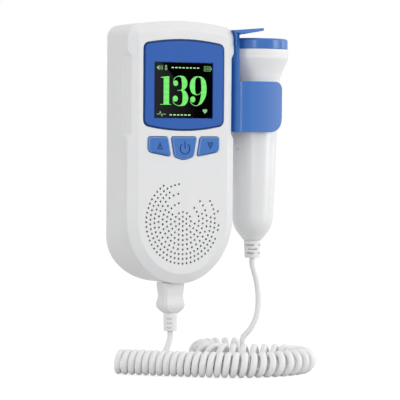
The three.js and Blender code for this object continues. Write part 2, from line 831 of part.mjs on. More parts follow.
const magnetFrontY = basketRearY + clearance;
addPiece('speaker_magnet',
  barY(0, speakerZ, magnetDiameter / 2, magnetFrontY, magnetFrontY + magnetThickness, 24),
  finish('#55585d', 0.5, 0.8));

// Battery cells, springs and contacts
const cellFootZ = bayFootZ + 3 * clearance + contactThickness + springHeight;
const cellTopZ = cellFootZ + cellLength;

function batteryCell(x, upright) {
  const [start, way] = upright ? [cellFootZ, 1] : [bayFootZ + bayTopZ - cellFootZ, -1];
  const flat = start + way * (cellLength - nubHeight);
  const tip = start + way * cellLength;
  return turnedZ(x, cellY, [
    [0, start], [cellDiameter / 2, start], [cellDiameter / 2, flat], [nubDiameter / 2, flat],
    [nubDiameter / 2, tip], [0, tip],
  ], 20);
}

// Open tube over centre points, with a ring of sides set across the path at each
function ringTube(centres, outward, radius, sides) {
  const rings = centres.map((centre, i) => {
    const before = centres[Math.max(i - 1, 0)];
    const after = centres[Math.min(i + 1, centres.length - 1)];
    const along = after.clone().sub(before).normalize();
    const first = outward[i].clone().addScaledVector(along, -outward[i].dot(along)).normalize();
    const second = new THREE.Vector3().crossVectors(along, first);
    return Array.from({ length: sides }, (_, k) => {
      const angle = 2 * Math.PI * k / sides;
      return centre.clone()
        .addScaledVector(first, radius * Math.cos(angle))
        .addScaledVector(second, radius * Math.sin(angle));
    });
  });
  return loft(rings);
}

function batterySpring(x, footZ, way) {
  const centres = [];
  const outward = [];
  const steps = springTurns * stepsPerCurl;
  const rise = springHeight - springWire;
  for (let i = 0; i <= steps; i++) {
    const angle = 2 * Math.PI * i / stepsPerCurl;
    const radius = THREE.MathUtils.lerp(springFootDiameter, springHeadDiameter, i / steps) / 2;
    const out = new THREE.Vector3(Math.cos(angle), Math.sin(angle), 0);
    const z = footZ + way * (springWire / 2 + rise * i / steps);
    centres.push(new THREE.Vector3(x, cellY, z).addScaledVector(out, radius));
    outward.push(out);
  }
  return ringTube(centres, outward, springWire / 2, curlSides);
}

const contactFootZ = bayFootZ + clearance;
const contactTopZ = bayTopZ - clearance;
const contactFrontY = cellY - contactWidth / 2;
const contactRearY = cellY + contactWidth / 2;
const springSeat = contactThickness + clearance;
addPiece('battery_cell_left', batteryCell(-cellX, true), finish('#2f3f55', 0.4, 0.3));
addPiece('battery_cell_right', batteryCell(cellX, false), finish('#2f3f55', 0.4, 0.3));
addPiece('battery_spring_left', batterySpring(-cellX, contactFootZ + springSeat, 1), steel());
addPiece('battery_spring_right', batterySpring(cellX, contactTopZ - springSeat, -1), steel());
addPiece('contact_link', box(-cellX - contactWidth / 2, cellX + contactWidth / 2, contactFrontY,
  contactRearY, contactTopZ - contactThickness, contactTopZ), steel());
for (const [side, name] of [[-1, 'contact_left'], [1, 'contact_right']]) {
  addPiece(name, box(side * cellX - contactWidth / 2, side * cellX + contactWidth / 2,
    contactFrontY, contactRearY, contactFootZ, contactFootZ + contactThickness), steel());
}

// Holder: a cuff round the grip, a finger plate up the side and a thumb tab over the head
function holderCuff() {
  const rearY = probeY + gripRadius + clearance + plate;
  const nearY = frontY - cuffProud;
  const freeX = probeX + cuffPastAxis;
  const inner = cuffBend - plate;
  const section = roundedOutline([
    [freeX, nearY, 0], [holderLeft, nearY, cuffBend], [holderLeft, rearY, cuffBend],
    [freeX, rearY, 0], [freeX, rearY - plate, 0], [holderLeft + plate, rearY - plate, inner],
    [holderLeft + plate, nearY + plate, inner], [freeX, nearY + plate, 0],
  ]);
  const face = roundedOutline([
    [freeX, cuffTopZ, cuffTopCorner], [holderLeft - overrun, cuffTopZ, 0],
    [holderLeft - overrun, cuffFootZ, 0], [freeX, cuffFootZ, cuffFootCorner],
  ], 5);
  return solid(plateXY(section, cuffFootZ, cuffTopZ))
    .intersect(solid(plateXZ(face, nearY - overrun, rearY + overrun)));
}

function fingerPlate() {
  const left = holderLeft;
  const right = left + plate;
  const tip = right + tabLength - plate;
  const topZ = crownZ - tabDrop;
  const footZ = topZ - tabRootThickness;
  const profile = [
    [left, cuffTopZ - cuffBend], [right, cuffTopZ - cuffBend],
    [right, footZ - tabFillet], [right + tabFillet / 4, footZ - tabFillet / 4],
    [right + tabFillet, footZ + tabFillet / 6],
    [tip, topZ + tabRise - tabThickness], [tip, topZ + tabRise],
    [left - tabOverhang, topZ], [left - tabOverhang, footZ - tabOverhang],
    [left, footZ - 2 * tabOverhang],
  ].map(([x, z]) => new THREE.Vector2(x, z));
  const nearY = frontY - cuffProud;
  return solid(plateXZ(profile, nearY, nearY + fingerPlateDepth));
}

// Pad on the holder that lies in the side recess
function holderPad() {
  const slope = recessSideCut / (recessRearY - recessFrontY);
  const seatX = (y) => halfWidth - (recessRearY - y) * slope + clearance * Math.hypot(1, slope);
  const rearY = recessRearY - 2 * clearance;
  const nearY = recessFrontY + keyPadEdge;
  const section = [
    [seatX(rearY), rearY], [seatX(nearY), nearY],
    [holderLeft + plate / 2, nearY], [holderLeft + plate / 2, rearY],
  ].map(([x, y]) => new THREE.Vector2(x, y));
  return solid(plateXY(section, cuffFootZ, crownZ - recessDrop - plate));
}

function probeHolder() {
  const whole = joinAll([holderCuff(), fingerPlate(), holderPad()]);
  const caseRoom = caseLoft([[frontY - bodyDepth, -clearance], [bodyDepth, -clearance]]);
  const keyRoom = caseRoom.subtract(recessCutter(1));
  return whole.subtract(keyRoom);
}

addPiece('probe_holder', probeHolder(), blueAbs());

// Probe: cap over the head, sensing face, two half shells and what they hold
const probeCapTopZ = cuffTopZ + headHeight;
const probeCapFootZ = probeCapTopZ - capHeight;
const headBulgeZ = probeCapFootZ - bulgeDrop;
const gripFootZ = cuffTopZ - gripLength;
const gripEndZ = gripFootZ - gripConeLength;
const probeSides = 24;
const neckShares = [0.86, 0.61, 0.31, 0.12, 0];
const neckRadiusShares = [0.97, 0.605, 0.2, 0.05, 0];

// Outer radius points of the handle from the cap down, drawn in by an inset
function handleSkin(inset) {
  const headZ = probeCapFootZ - clearance;
  const neck = neckShares.map((share, i) => [
    gripRadius + (headRadius - gripRadius) * neckRadiusShares[i] - inset,
    cuffTopZ + clearance + (headBulgeZ - cuffTopZ) * share,
  ]);
  return [
    [headRadius - clearance - inset, headZ],
    [headRadius - inset, headBulgeZ],
    ...neck,
    [gripMidRadius - inset, cuffTopZ - gripMidDrop],
    [gripFootRadius - inset, gripFootZ],
    [gripEndRadius - inset, gripEndZ],
  ];
}

function handleTube() {
  const skin = handleSkin(0);
  const lining = handleSkin(probeWall).slice(0, -1).reverse();
  const bore = reliefNeckRadius + clearance;
  const floorZ = gripEndZ + probeWall;
  const profile = [
    ...skin, [bore, gripEndZ], [bore, floorZ],
    [gripEndRadius - clearance, floorZ], ...lining, skin[0],
  ];
  return turnedZ(0, 0, profile, probeSides);
}

// The split between the half shells faces the sides of the coil's lay
function handleHalf(side) {
  const reach = 2 * headRadius;
  const low = gripEndZ - overrun;
  const half = solid(box(-reach, reach, side > 0 ? clearance / 2 : -reach,
    side > 0 ? reach : -clearance / 2, low, probeCapTopZ));
  const turn = THREE.MathUtils.degToRad(coilLayAngle);
  const body = solid(handleTube()).intersect(half);
  return geometryOf(body).rotateZ(turn).translate(probeX, probeY, 0);
}

const probeTurned = (points, sides = probeSides) => turnedZ(probeX, probeY, points, sides);
const faceSeatZ = probeCapTopZ - faceThickness;
const capInner = headRadius - clearance - probeWall;

function probeCap() {
  return probeTurned([
    [headRadius - clearance, probeCapFootZ], [headRadius - clearance, probeCapTopZ - capEdge],
    [headRadius - clearance - capEdge / 3, probeCapTopZ - capEdge / 3],
    [headRadius - clearance - capEdge, probeCapTopZ], [faceRadius + clearance, probeCapTopZ],
    [faceRadius + clearance, faceSeatZ], [capInner, faceSeatZ - clearance],
    [capInner, probeCapFootZ], [headRadius - clearance, probeCapFootZ],
  ]);
}

const crystalTopZ = faceSeatZ - clearance;
const crystalFootZ = crystalTopZ - crystalThickness;
const backingTopZ = crystalFootZ - clearance;
const backingFootZ = backingTopZ - backingThickness;
const plateRimZ = probeCapFootZ + clearance;

function sensingFace() {
  return probeTurned([
    [0, probeCapTopZ + faceDome], [faceRadius / 2, probeCapTopZ + faceDome * 3 / 4],
    [faceRadius, probeCapTopZ], [faceRadius, faceSeatZ], [0, faceSeatZ], [0, probeCapTopZ + faceDome],
  ]);
}

function crystal(side) {
  const disc = solid(probeTurned([
    [0, crystalTopZ], [crystalRadius, crystalTopZ], [crystalRadius, crystalFootZ],
    [0, crystalFootZ], [0, crystalTopZ],
  ], 24));
  const far = 2 * crystalRadius;
  const [lowX, highX] = side > 0 ? [crystalSlit / 2, far] : [-far, -crystalSlit / 2];
  const half = box(probeX + lowX, probeX + highX, probeY - far, probeY + far,
    crystalFootZ - overrun, crystalTopZ + overrun);
  return disc.intersect(solid(half));
}

addPiece('probe_shell_front', handleHalf(-1), whiteAbs());
addPiece('probe_shell_rear', handleHalf(1), whiteAbs());
addPiece('probe_cap', probeCap(), blueAbs());
addPiece('probe_face', sensingFace(), finish('#b9c3cf', 0.5));
addPiece('crystal_transmit', crystal(-1), finish('#d8cfa8', 0.4));
addPiece('crystal_receive', crystal(1), finish('#d8cfa8', 0.4));
addPiece('damping_block', probeTurned([
  [0, backingTopZ], [backingRadius, backingTopZ], [backingRadius, plateRimZ],
  [capInner - clearance, plateRimZ], [capInner - clearance, plateRimZ - clearance],
  [backingRadius, plateRimZ - clearance], [backingRadius, backingFootZ], [0, backingFootZ],
  [0, backingTopZ],
]), finish('#3b3b3b', 0.9));

const probeBoardTopZ = cuffTopZ - probeBoardDrop;
const probeBoardFootZ = probeBoardTopZ - probeBoardLength;
const probeBoardShare = (cuffTopZ - probeBoardFootZ) / gripLength;
const probeBoardHalf = THREE.MathUtils.lerp(gripMidRadius, gripFootRadius, probeBoardShare)
  - probeWall - 2 * clearance;
const probeBoard = box(-probeBoardHalf, probeBoardHalf, -probeBoardThickness / 2,
  probeBoardThickness / 2, probeBoardFootZ, probeBoardTopZ);
probeBoard.rotateZ(THREE.MathUtils.degToRad(coilLayAngle)).translate(probeX, probeY, 0);
addPiece('probe_board', probeBoard, boardGreen());

// Grooved relief sleeve below a start height
function reliefSleeve(startZ, length, startRadius, endRadius) {
  const points = [[startRadius, startZ]];
  const pitch = length / (reliefGrooves + 1);
  for (let i = 1; i <= reliefGrooves; i++) {
    const z = startZ - pitch * i;
    const radius = THREE.MathUtils.lerp(startRadius, endRadius, i / (reliefGrooves + 1));
    points.push([radius, z + reliefGrooveWidth / 2], [radius - reliefGroove, z + reliefGrooveWidth / 2],
      [radius - reliefGroove, z - reliefGrooveWidth / 2], [radius, z - reliefGrooveWidth / 2]);
  }
  points.push([endRadius, startZ - length], [0, startZ - length]);
  return points;
}

const reliefStartZ = gripEndZ - clearance;
const reliefFlangeZ = gripEndZ + probeWall + clearance;
addPiece('probe_strain_relief', probeTurned([
  [0, reliefFlangeZ + reliefFlangeThickness], [reliefFlangeRadius, reliefFlangeZ + reliefFlangeThickness],
  [reliefFlangeRadius, reliefFlangeZ], [reliefNeckRadius, reliefFlangeZ],
  [reliefNeckRadius, reliefStartZ],
  ...reliefSleeve(reliefStartZ, probeReliefLength - clearance, probeReliefRadius, probeReliefEndRadius),
  [0, reliefFlangeZ + reliefFlangeThickness],
], 12), softWhite());

// Plug, with its tip in the socket
const plugTopZ = tailZ - clearance;
const plugFootZ = plugTopZ - plugLength;
const plugHeightShares = [0, 0.42, 0.68, 0.86, 1];
const plugWidthShares = [1, 0.9, 1.03, 0.84, 0.52];
const plugDepthShares = [1, 0.9, 1.04, 0.86, 0.66];

function plugBody() {
  const rings = plugHeightShares.map((share, i) => {
    const half = plugWidth * plugWidthShares[i] / 2;
    const deep = plugDepth * plugDepthShares[i] / 2;
    const corner = plugCorner * plugWidthShares[i];
    const outline = roundedOutline([
      [half, deep, corner], [-half, deep, corner], [-half, -deep, corner], [half, -deep, corner],
    ], 4);
    return outline.map((p) => new THREE.Vector3(p.x, plugY + p.y, plugTopZ - plugLength * share));
  });
  return loft(rings);
}

addPiece('plug_body', plugBody(), softWhite());
const tipTopZ = plugTopZ + clearance + tipLength;
addPiece('plug_tip', box(-tipWidth / 2, tipWidth / 2, plugY - tipDepth / 2, plugY + tipDepth / 2,
  plugTopZ + clearance, tipTopZ), steel());
const plugReliefZ = plugFootZ - clearance;
addPiece('plug_strain_relief', turnedZ(0, plugY, [
  [0, plugReliefZ],
  ...reliefSleeve(plugReliefZ, plugReliefLength - clearance, plugReliefRadius, plugReliefEndRadius),
], 12), softWhite());

function socket() {
  const half = tipWidth / 2 + tipFit;
  const deep = tipDepth / 2 + tipFit;
  const footZ = tailZ + sideWall + socketSeat;
  const outer = solid(box(-half - socketWall, half + socketWall, plugY - deep - socketWall,
    plugY + deep + socketWall, footZ, footZ + socketLength));
  const bore = solid(box(-half, half, plugY - deep, plugY + deep, footZ - overrun,
    footZ + socketLength - socketWall));
  return outer.subtract(bore);
}

addPiece('probe_socket', socket(), darkPlastic());

// Curly cord: its axis lies flat in straights and bends, and the wire winds round it.
// Run is the distance to the right across the lay, and row the distance away.
const lay = THREE.MathUtils.degToRad(coilLayAngle);
const layPoint = (run, row, z) => new THREE.Vector3(
  run * Math.cos(lay) - row * Math.sin(lay), run * Math.sin(lay) + row * Math.cos(lay), z);
const straight = (length) => ({ length, turn: 0 });
const bend = (radius, degrees) => {
  const turn = THREE.MathUtils.degToRad(degrees);
  return { length: radius * Math.abs(turn), turn };
};
const coilStretches = [
  straight(coilFirstRun),
  bend(coilSweepRadius, -coilStartHeading),
  bend(coilCurveRadius, coilCurveAngle),
  bend(coilBend, 180 - coilCurveAngle),
  straight(coilBackRun),
  bend(coilBend, -180),
  straight(coilLastRun),
];
const coilLength = coilStretches.reduce((sum, { length }) => sum + length, 0);

// Place and heading on the coil's axis, the heading in radians from the run's direction
function coilAxis(s) {
  let run = coilStartRun;
  let row = coilStartRow;
  let heading = THREE.MathUtils.degToRad(coilStartHeading);
  let rest = s;
  for (const { length, turn } of coilStretches) {
    const part = Math.min(rest, length);
    const next = heading + turn * part / length;
    if (turn === 0) {
      run += part * Math.cos(heading);
      row += part * Math.sin(heading);
    } else {
      run += length / turn * (Math.sin(next) - Math.sin(heading));
      row -= length / turn * (Math.cos(next) - Math.cos(heading));
    }
    heading = next;
    rest -= part;
    if (rest <= 0) break;
  }
  return [run, row, heading];
}

const sideOf = (heading) => layPoint(Math.sin(heading), -Math.cos(heading), 0);
const curlPitch = (s) => THREE.MathUtils.lerp(closedPitch, openPitch,
  THREE.MathUtils.clamp((s - closedLength) / (openLength - closedLength), 0, 1));

// Curls along the axis, with the turns rounded so that the wire ends rising at the near side
function curlCentres() {
  const fine = 2000;
  const turns = [0];
  for (let i = 0; i < fine; i++) {
    const s = coilLength * (i + 1 / 2) / fine;
    turns.push(turns.at(-1) + coilLength / fine / curlPitch(s));
  }
  const wanted = Math.round(turns.at(-1)) + 1 / 4;
  const steps = Math.round(wanted * stepsPerCurl);
  const centres = [];
  const outward = [];
  let k = 0;
  for (let i = 0; i <= steps; i++) {
    const target = turns.at(-1) * i / steps;
    while (k < fine - 1 && turns[k + 1] < target) k++;
    const part = (target - turns[k]) / (turns[k + 1] - turns[k]);
    const [run, row, heading] = coilAxis(coilLength * (k + part) / fine);
    const angle = 2 * Math.PI * (i / stepsPerCurl - 1 / 4);
    const out = sideOf(heading).multiplyScalar(Math.cos(angle)).setZ(Math.sin(angle));
    centres.push(layPoint(run, row, coilHeight).addScaledVector(out, coilRadius));
    outward.push(out);
  }
  return { centres, outward };
}

// Straight ends, one wire diameter long: level at the start and upright at the end
const coilStartWay = sideOf(THREE.MathUtils.degToRad(coilStartHeading));

function addStraightEnds({ centres, outward }) {
  const start = centres[0].clone().addScaledVector(coilStartWay, -wireDiameter);
  const end = centres.at(-1).clone().add(new THREE.Vector3(0, 0, wireDiameter));
  return {
    centres: [start, ...centres, end],
    outward: [outward[0], ...outward, outward.at(-1)],
  };
}

function leastGap(centres, diameter) {
  const fine = centres.slice(0, -1).flatMap((centre, i) =>
    [0, 1, 2, 3].map((k) => centre.clone().lerp(centres[i + 1], k / 4)));
  const apart = stepsPerCurl * 2;
  let least = Infinity;
  for (let i = 0; i < fine.length; i++) {
    for (let j = i + apart; j < fine.length; j++) {
      least = Math.min(least, fine[i].distanceTo(fine[j]));
    }
  }
  return least - diameter;
}

const curls = addStraightEnds(curlCentres());
const curlGap = leastGap(curls.centres, wireDiameter);
console.log(`curls: ${(curls.centres.length - 3) / stepsPerCurl} turns, least gap to itself`
  + ` ${curlGap.toFixed(2)} mm, wanted over ${gapWanted} mm`);
addPiece('cord_curls', ringTube(curls.centres, curls.outward, wireDiameter / 2, curlSides), softWhite());

// Straight leads, each set square on what it meets
function lead(points, steps) {
  const curve = new THREE.CatmullRomCurve3(points);
  const ring = Array.from({ length: leadSides }, (_, k) => {
    const angle = 2 * Math.PI * k / leadSides;
    return new THREE.Vector2(Math.cos(angle), Math.sin(angle)).multiplyScalar(wireDiameter / 2);
  });
  console.log(`lead: ${curve.getLength().toFixed(1)} mm long`);
  return new THREE.ExtrudeGeometry(new THREE.Shape(ring),
    { steps, extrudePath: curve, bevelEnabled: false });
}

// Two points of a straight end: at the meeting face and one wire diameter along
function leadEnd(face, way) {
  return [clearance, clearance + wireDiameter].map((d) => face.clone().addScaledVector(way, d));
}

const up = new THREE.Vector3(0, 0, 1);
const down = new THREE.Vector3(0, 0, -1);
const plugEnd = new THREE.Vector3(0, plugY, plugFootZ - plugReliefLength);
const probeEnd = new THREE.Vector3(probeX, probeY, gripEndZ - probeReliefLength);
const middle = (points) => points.map((p) => layPoint(...p));
addPiece('cord_plug_lead', lead([
  ...leadEnd(plugEnd, down), ...middle(plugLeadMiddle),
  ...leadEnd(curls.centres[0], coilStartWay.clone().negate()).reverse(),
], plugLeadSteps), softWhite());
addPiece('cord_probe_lead', lead([
  ...leadEnd(curls.centres.at(-1), up), ...middle(probeLeadMiddle),
  ...leadEnd(probeEnd, down).reverse(),
], probeLeadSteps), softWhite());

export default model;
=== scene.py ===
import math

import bmesh
import bpy
from mathutils import Matrix, Quaternion, Vector


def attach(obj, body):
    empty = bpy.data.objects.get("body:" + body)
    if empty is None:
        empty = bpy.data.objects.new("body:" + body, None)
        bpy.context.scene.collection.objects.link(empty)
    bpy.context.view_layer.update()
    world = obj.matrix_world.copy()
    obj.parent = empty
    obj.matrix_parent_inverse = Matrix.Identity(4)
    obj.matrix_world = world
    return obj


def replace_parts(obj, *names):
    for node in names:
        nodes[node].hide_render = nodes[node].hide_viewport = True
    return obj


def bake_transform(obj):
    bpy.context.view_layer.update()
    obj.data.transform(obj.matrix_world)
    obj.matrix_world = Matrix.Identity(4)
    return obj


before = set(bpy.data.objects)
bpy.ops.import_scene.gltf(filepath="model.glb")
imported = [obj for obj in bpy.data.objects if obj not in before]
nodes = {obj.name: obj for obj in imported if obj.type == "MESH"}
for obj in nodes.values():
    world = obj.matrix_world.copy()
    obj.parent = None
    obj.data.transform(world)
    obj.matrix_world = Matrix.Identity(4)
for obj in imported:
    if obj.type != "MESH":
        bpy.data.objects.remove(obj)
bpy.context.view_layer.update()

# Fetal doppler monitor: unit with display, clip-on holder, probe and curly lead.
# Sizes in the dictionaries are millimetres, the meshes are metres in the CAD frame.
mm = 0.001
scene = bpy.context.scene
scene.view_settings.view_transform = "Standard"

# Small tools for meshes

def lerp(a, b, share):
    return a + (b - a) * share


def clamp(value):
    return max(0.0, min(1.0, value))


def smooth(value):
    value = clamp(value)
    return value * value * (3 - 2 * value)


# Smaller of two values, with the corner between them rounded off
def softMin(a, b, radius):
    share = clamp(0.5 + 0.5 * (b - a) / radius)
    return lerp(b, a, share) - radius * share * (1 - share)


def makePiece(name, points, faces, sharp=32):
    mesh = bpy.data.meshes.new(name)
    mesh.from_pydata([Vector(p) * mm for p in points], [], faces)
    mesh.validate()
    piece = bpy.data.objects.new(name, mesh)
    scene.collection.objects.link(piece)
    finishMesh(piece, sharp)
    return piece


def finishMesh(piece, sharp=32):
    mesh = piece.data
    mesh.polygons.foreach_set("use_smooth", [True] * len(mesh.polygons))
    mesh.set_sharp_from_angle(angle=math.radians(sharp))


# Large flats keep their own normals beside rounded edges
def evenNormals(piece):
    even = piece.modifiers.new("evenNormals", "WEIGHTED_NORMAL")
    even.keep_sharp = True
    return piece


def freeze(piece):
    bpy.context.view_layer.update()
    seen = piece.evaluated_get(bpy.context.evaluated_depsgraph_get())
    mesh = bpy.data.meshes.new_from_object(seen)
    piece.modifiers.clear()
    piece.data = mesh


# Joins or cuts with closed meshes, which are used up
def carve(piece, cutters, operation="DIFFERENCE", sharp=32):
    for cutter in cutters:
        change = piece.modifiers.new("carve", "BOOLEAN")
        change.operation = operation
        change.solver = "MANIFOLD"
        change.object = cutter
    freeze(piece)
    for cutter in cutters:
        bpy.data.objects.remove(cutter)
    finishMesh(piece, sharp)
    return piece


# Skin over rings of equal point count, with flat ends unless it closes on itself
def loft(name, rings, sharp=32, closed=False):
    count = len(rings[0])
    points = [p for ring in rings for p in ring]
    faces = []
    for r in range(len(rings) if closed else len(rings) - 1):
        low, high = r * count, (r + 1) % len(rings) * count
        for i in range(count):
            j = (i + 1) % count
            faces.append((low + i, low + j, high + j, high + i))
    if not closed:
        faces.append(tuple(reversed(range(count))))
        faces.append(tuple(range(len(points) - count, len(points))))
    return outward(makePiece(name, points, faces, sharp))


# Turns a closed mesh's faces out
def outward(piece):
    mesh = piece.data
    mesh.calc_loop_triangles()
    corners = [v.co for v in mesh.vertices]
    volume = sum(corners[a].dot(corners[b].cross(corners[c]))
                 for a, b, c in (t.vertices for t in mesh.loop_triangles))
    if volume < 0:
        mesh.flip_normals()
    return piece


# Angles of evenly spaced points round a circle
def roundAngles(sides):
    return [2 * math.pi * k / sides for k in range(sides)]


# Turned piece from [radius, along] points, which close on themselves. axis maps them to the frame.
def lathe(name, profile, axis, sides=64, sharp=32, start=0, sweep=360):
    whole = sweep == 360
    rings = []
    for i in range(sides if whole else sides + 1):
        angle = math.radians(start + sweep * i / sides)
        rings.append([axis(r * math.cos(angle), r * math.sin(angle), along) for r, along in profile])
    piece = loft(name, rings, sharp, closed=whole)
    if any(r == 0 for r, along in profile):
        closeAxis(piece)
        finishMesh(piece, sharp)
    return piece


# Merges the points that a turned profile puts on its axis
def closeAxis(piece):
    work = bmesh.new()
    work.from_mesh(piece.data)
    bmesh.ops.remove_doubles(work, verts=work.verts, dist=1e-4 * mm)
    work.to_mesh(piece.data)
    work.free()


# Axis map for pieces turned about an upright line
def upright(x, y, turn=0):
    c, s = math.cos(math.radians(turn)), math.sin(math.radians(turn))
    return lambda a, b, along: (x + a * c - b * s, y + a * s + b * c, along)


# Axis map for pieces turned about a line from front to back
def facing(x, z):
    return lambda a, b, along: (x + a, along, z + b)


# Polygon or path with each corner given as (x, z, radius)
def roundedOutline(corners, steps=8, closed=True):
    points = []
    for i, (x, z, radius) in enumerate(corners):
        here = Vector((x, z))
        if not radius or (not closed and i in (0, len(corners) - 1)):
            points.append(here)
            continue
        last, following = corners[i - 1], corners[(i + 1) % len(corners)]
        back, ahead = Vector(last[:2]) - here, Vector(following[:2]) - here
        reach = min(radius, back.length / (2 if last[2] else 1),
                    ahead.length / (2 if following[2] else 1))
        start, end = here + back.normalized() * reach, here + ahead.normalized() * reach
        for k in range(steps + 1):
            t = k / steps
            points.append(start * (1 - t) ** 2 + here * 2 * t * (1 - t) + end * t * t)
    return [tuple(p) for k, p in enumerate(points) if k == 0 or (p - points[k - 1]).length > 1e-4]


# The same polygon with every edge moved out by a margin
def grow(corners, margin):
    area = sum(corners[i - 1][0] * z - x * corners[i - 1][1] for i, (x, z, _) in enumerate(corners))
    outwards = math.copysign(1, area)
    grown = []
    for i, (x, z, radius) in enumerate(corners):
        before, after = corners[i - 1], corners[(i + 1) % len(corners)]
        into = Vector((x - before[0], z - before[1])).normalized()
        out = Vector((after[0] - x, after[1] - z)).normalized()
        normal = Vector((into.y + out.y, -into.x - out.x)).normalized()
        shift = outwards * margin / normal.dot(Vector((into.y, -into.x)))
        rounding = max(radius + margin, 0.05) if radius else 0
        grown.append((x + normal.x * shift, z + normal.y * shift, rounding))
    return grown


# Plate drawn in X and Z through (y, growth) levels
def plate(name, corners, levels, steps=8, sharp=32):
    rings = [[(x, y, z) for x, z in roundedOutline(grow(corners, growth), steps)] for y, growth in levels]
    return loft(name, rings, sharp)


def block(name, low, high):
    (x0, y0, z0), (x1, y1, z1) = low, high
    rings = [[(x0, y, z0), (x1, y, z0), (x1, y, z1), (x0, y, z1)] for y in (y0, y1)]
    return loft(name, rings)


def barY(name, x, z, radius, near, far, sides=24):
    return lathe(name, [(0, near), (radius, near), (radius, far), (0, far)], facing(x, z), sides)


# (y, growth) levels of a plate, from its back to a face whose edge is rounded
def edgeLevels(face, back, radius, steps=4):
    way = math.copysign(1, back - face)
    levels = [(back, 0)]
    for k in range(steps + 1):
        angle = math.pi / 2 * k / steps
        levels.append((face + way * radius * (1 - math.sin(angle)), -radius * (1 - math.cos(angle))))
    return levels


# Smooth curve through four values or points in a row: t runs from the second to the third
def splineAt(p0, p1, p2, p3, t):
    return 0.5 * (2 * p1 + (p2 - p0) * t + (2 * p0 - 5 * p1 + 4 * p2 - p3) * t * t
                  + (3 * p1 - p0 - 3 * p2 + p3) * t ** 3)


# Points on a smooth path through points
def splinePath(points, steps):
    ends = [Vector(p) for p in (points[0], *points, points[-1])]
    fine = [splineAt(*ends[i:i + 4], k / steps) for i in range(len(points) - 1) for k in range(steps)]
    return fine + [ends[-1]]


# Path with long stretches divided
def refined(points, step):
    fine = [points[0]]
    for a, b in zip(points, points[1:]):
        count = max(1, math.ceil(math.dist(a, b) / step))
        fine += [tuple(lerp(p, q, k / count) for p, q in zip(a, b)) for k in range(1, count + 1)]
    return fine


# Camera: from the left of the unit and a little above it
shot = {
    "azimuth": -31.5,    # degrees round the unit, 0 looks straight at its face
    "elevation": 2.08,
    "roll": 0.4,
    "lens": 186,         # on a 36 mm sensor
    "spot": (-540.94, -926.17, -16.63),
    "near": 50, "far": 20000,
}


def makeCamera():
    azimuth, elevation = math.radians(shot["azimuth"]), math.radians(shot["elevation"])
    back = Vector((math.sin(azimuth) * math.cos(elevation),
                   -math.cos(azimuth) * math.cos(elevation), math.sin(elevation)))
    camera = bpy.data.objects.new("camera", bpy.data.cameras.new("camera"))
    scene.collection.objects.link(camera)
    turn = Quaternion(back, math.radians(shot["roll"])) @ (-back).to_track_quat("-Z", "Y")
    camera.matrix_world = Matrix.Translation(Vector(shot["spot"]) * mm) @ turn.to_matrix().to_4x4()
    camera.data.lens = shot["lens"]
    camera.data.clip_start, camera.data.clip_end = shot["near"] * mm, shot["far"] * mm
    scene.camera = camera


makeCamera()
print("camera set")

# Cord: one 3 mm lead, wound into curls between two straight ends and drawn a little thicker there
cord = {
    "diameter": 3, "woundDiameter": 3.4, "coilRadius": 4.8, "coilHeight": -135.5, "layAngle": -31.5,
    "startRun": -17.7, "startRow": -38.5, "startHeading": -15,
    "firstRun": 34, "sweepRadius": 100, "curveRadius": 40, "curveAngle": 52, "bend": 15.5,
    "backRun": 21.2, "lastRun": 6.5,
    "closedPitch": 3.6, "closedLength": 45, "openPitch": 5.25, "openLength": 98,
    "stepsPerCurl": 20, "quarter": 0.25, "sides": 16, "meet": 0.3,
    "plugEnd": (0, -15, -122.4), "probeEnd": (52.0, -11.7, -86.4),
    # Middle of each straight lead as (run, row, height) in the coil's lay
    "plugMiddle": [(5.7, -14.5, -132.3), (2, -17, -137), (-3.5, -19.6, -140), (-9, -22.3, -140.5),
                   (-13.8, -26, -140.5)],
    "probeMiddle": [(50, 15.8, -123.6), (52.6, 16.2, -118.1), (53.8, 16.5, -111.5), (53.6, 16.8, -104),
                    (52.6, 17, -97.7)],
    "leadSteps": 36,
}
layTurn = math.radians(cord["layAngle"])


def layPoint(run, row, z):
    return Vector((run * math.cos(layTurn) - row * math.sin(layTurn),
                   run * math.sin(layTurn) + row * math.cos(layTurn), z))


# (length, turn in radians) of each straight or bend of the coil's axis
def coilStretches():
    def bend(radius, degrees):
        turn = math.radians(degrees)
        return radius * abs(turn), turn
    return [
        (cord["firstRun"], 0), bend(cord["sweepRadius"], -cord["startHeading"]),
        bend(cord["curveRadius"], cord["curveAngle"]), bend(cord["bend"], 180 - cord["curveAngle"]),
        (cord["backRun"], 0), bend(cord["bend"], -180), (cord["lastRun"], 0),
    ]


def coilAxis(s):
    run, row, heading = cord["startRun"], cord["startRow"], math.radians(cord["startHeading"])
    for length, turn in coilStretches():
        part = min(s, length)
        ahead = heading + turn * part / length
        if turn == 0:
            run += part * math.cos(heading)
            row += part * math.sin(heading)
        else:
            run += length / turn * (math.sin(ahead) - math.sin(heading))
            row -= length / turn * (math.cos(ahead) - math.cos(heading))
        heading = ahead
        s -= part
        if s <= 0:
            break
    return run, row, heading


def sideOf(heading):
    return layPoint(math.sin(heading), -math.cos(heading), 0)


def curlPitch(s):
    share = clamp((s - cord["closedLength"]) / (cord["openLength"] - cord["closedLength"]))
    return lerp(cord["closedPitch"], cord["openPitch"], share)


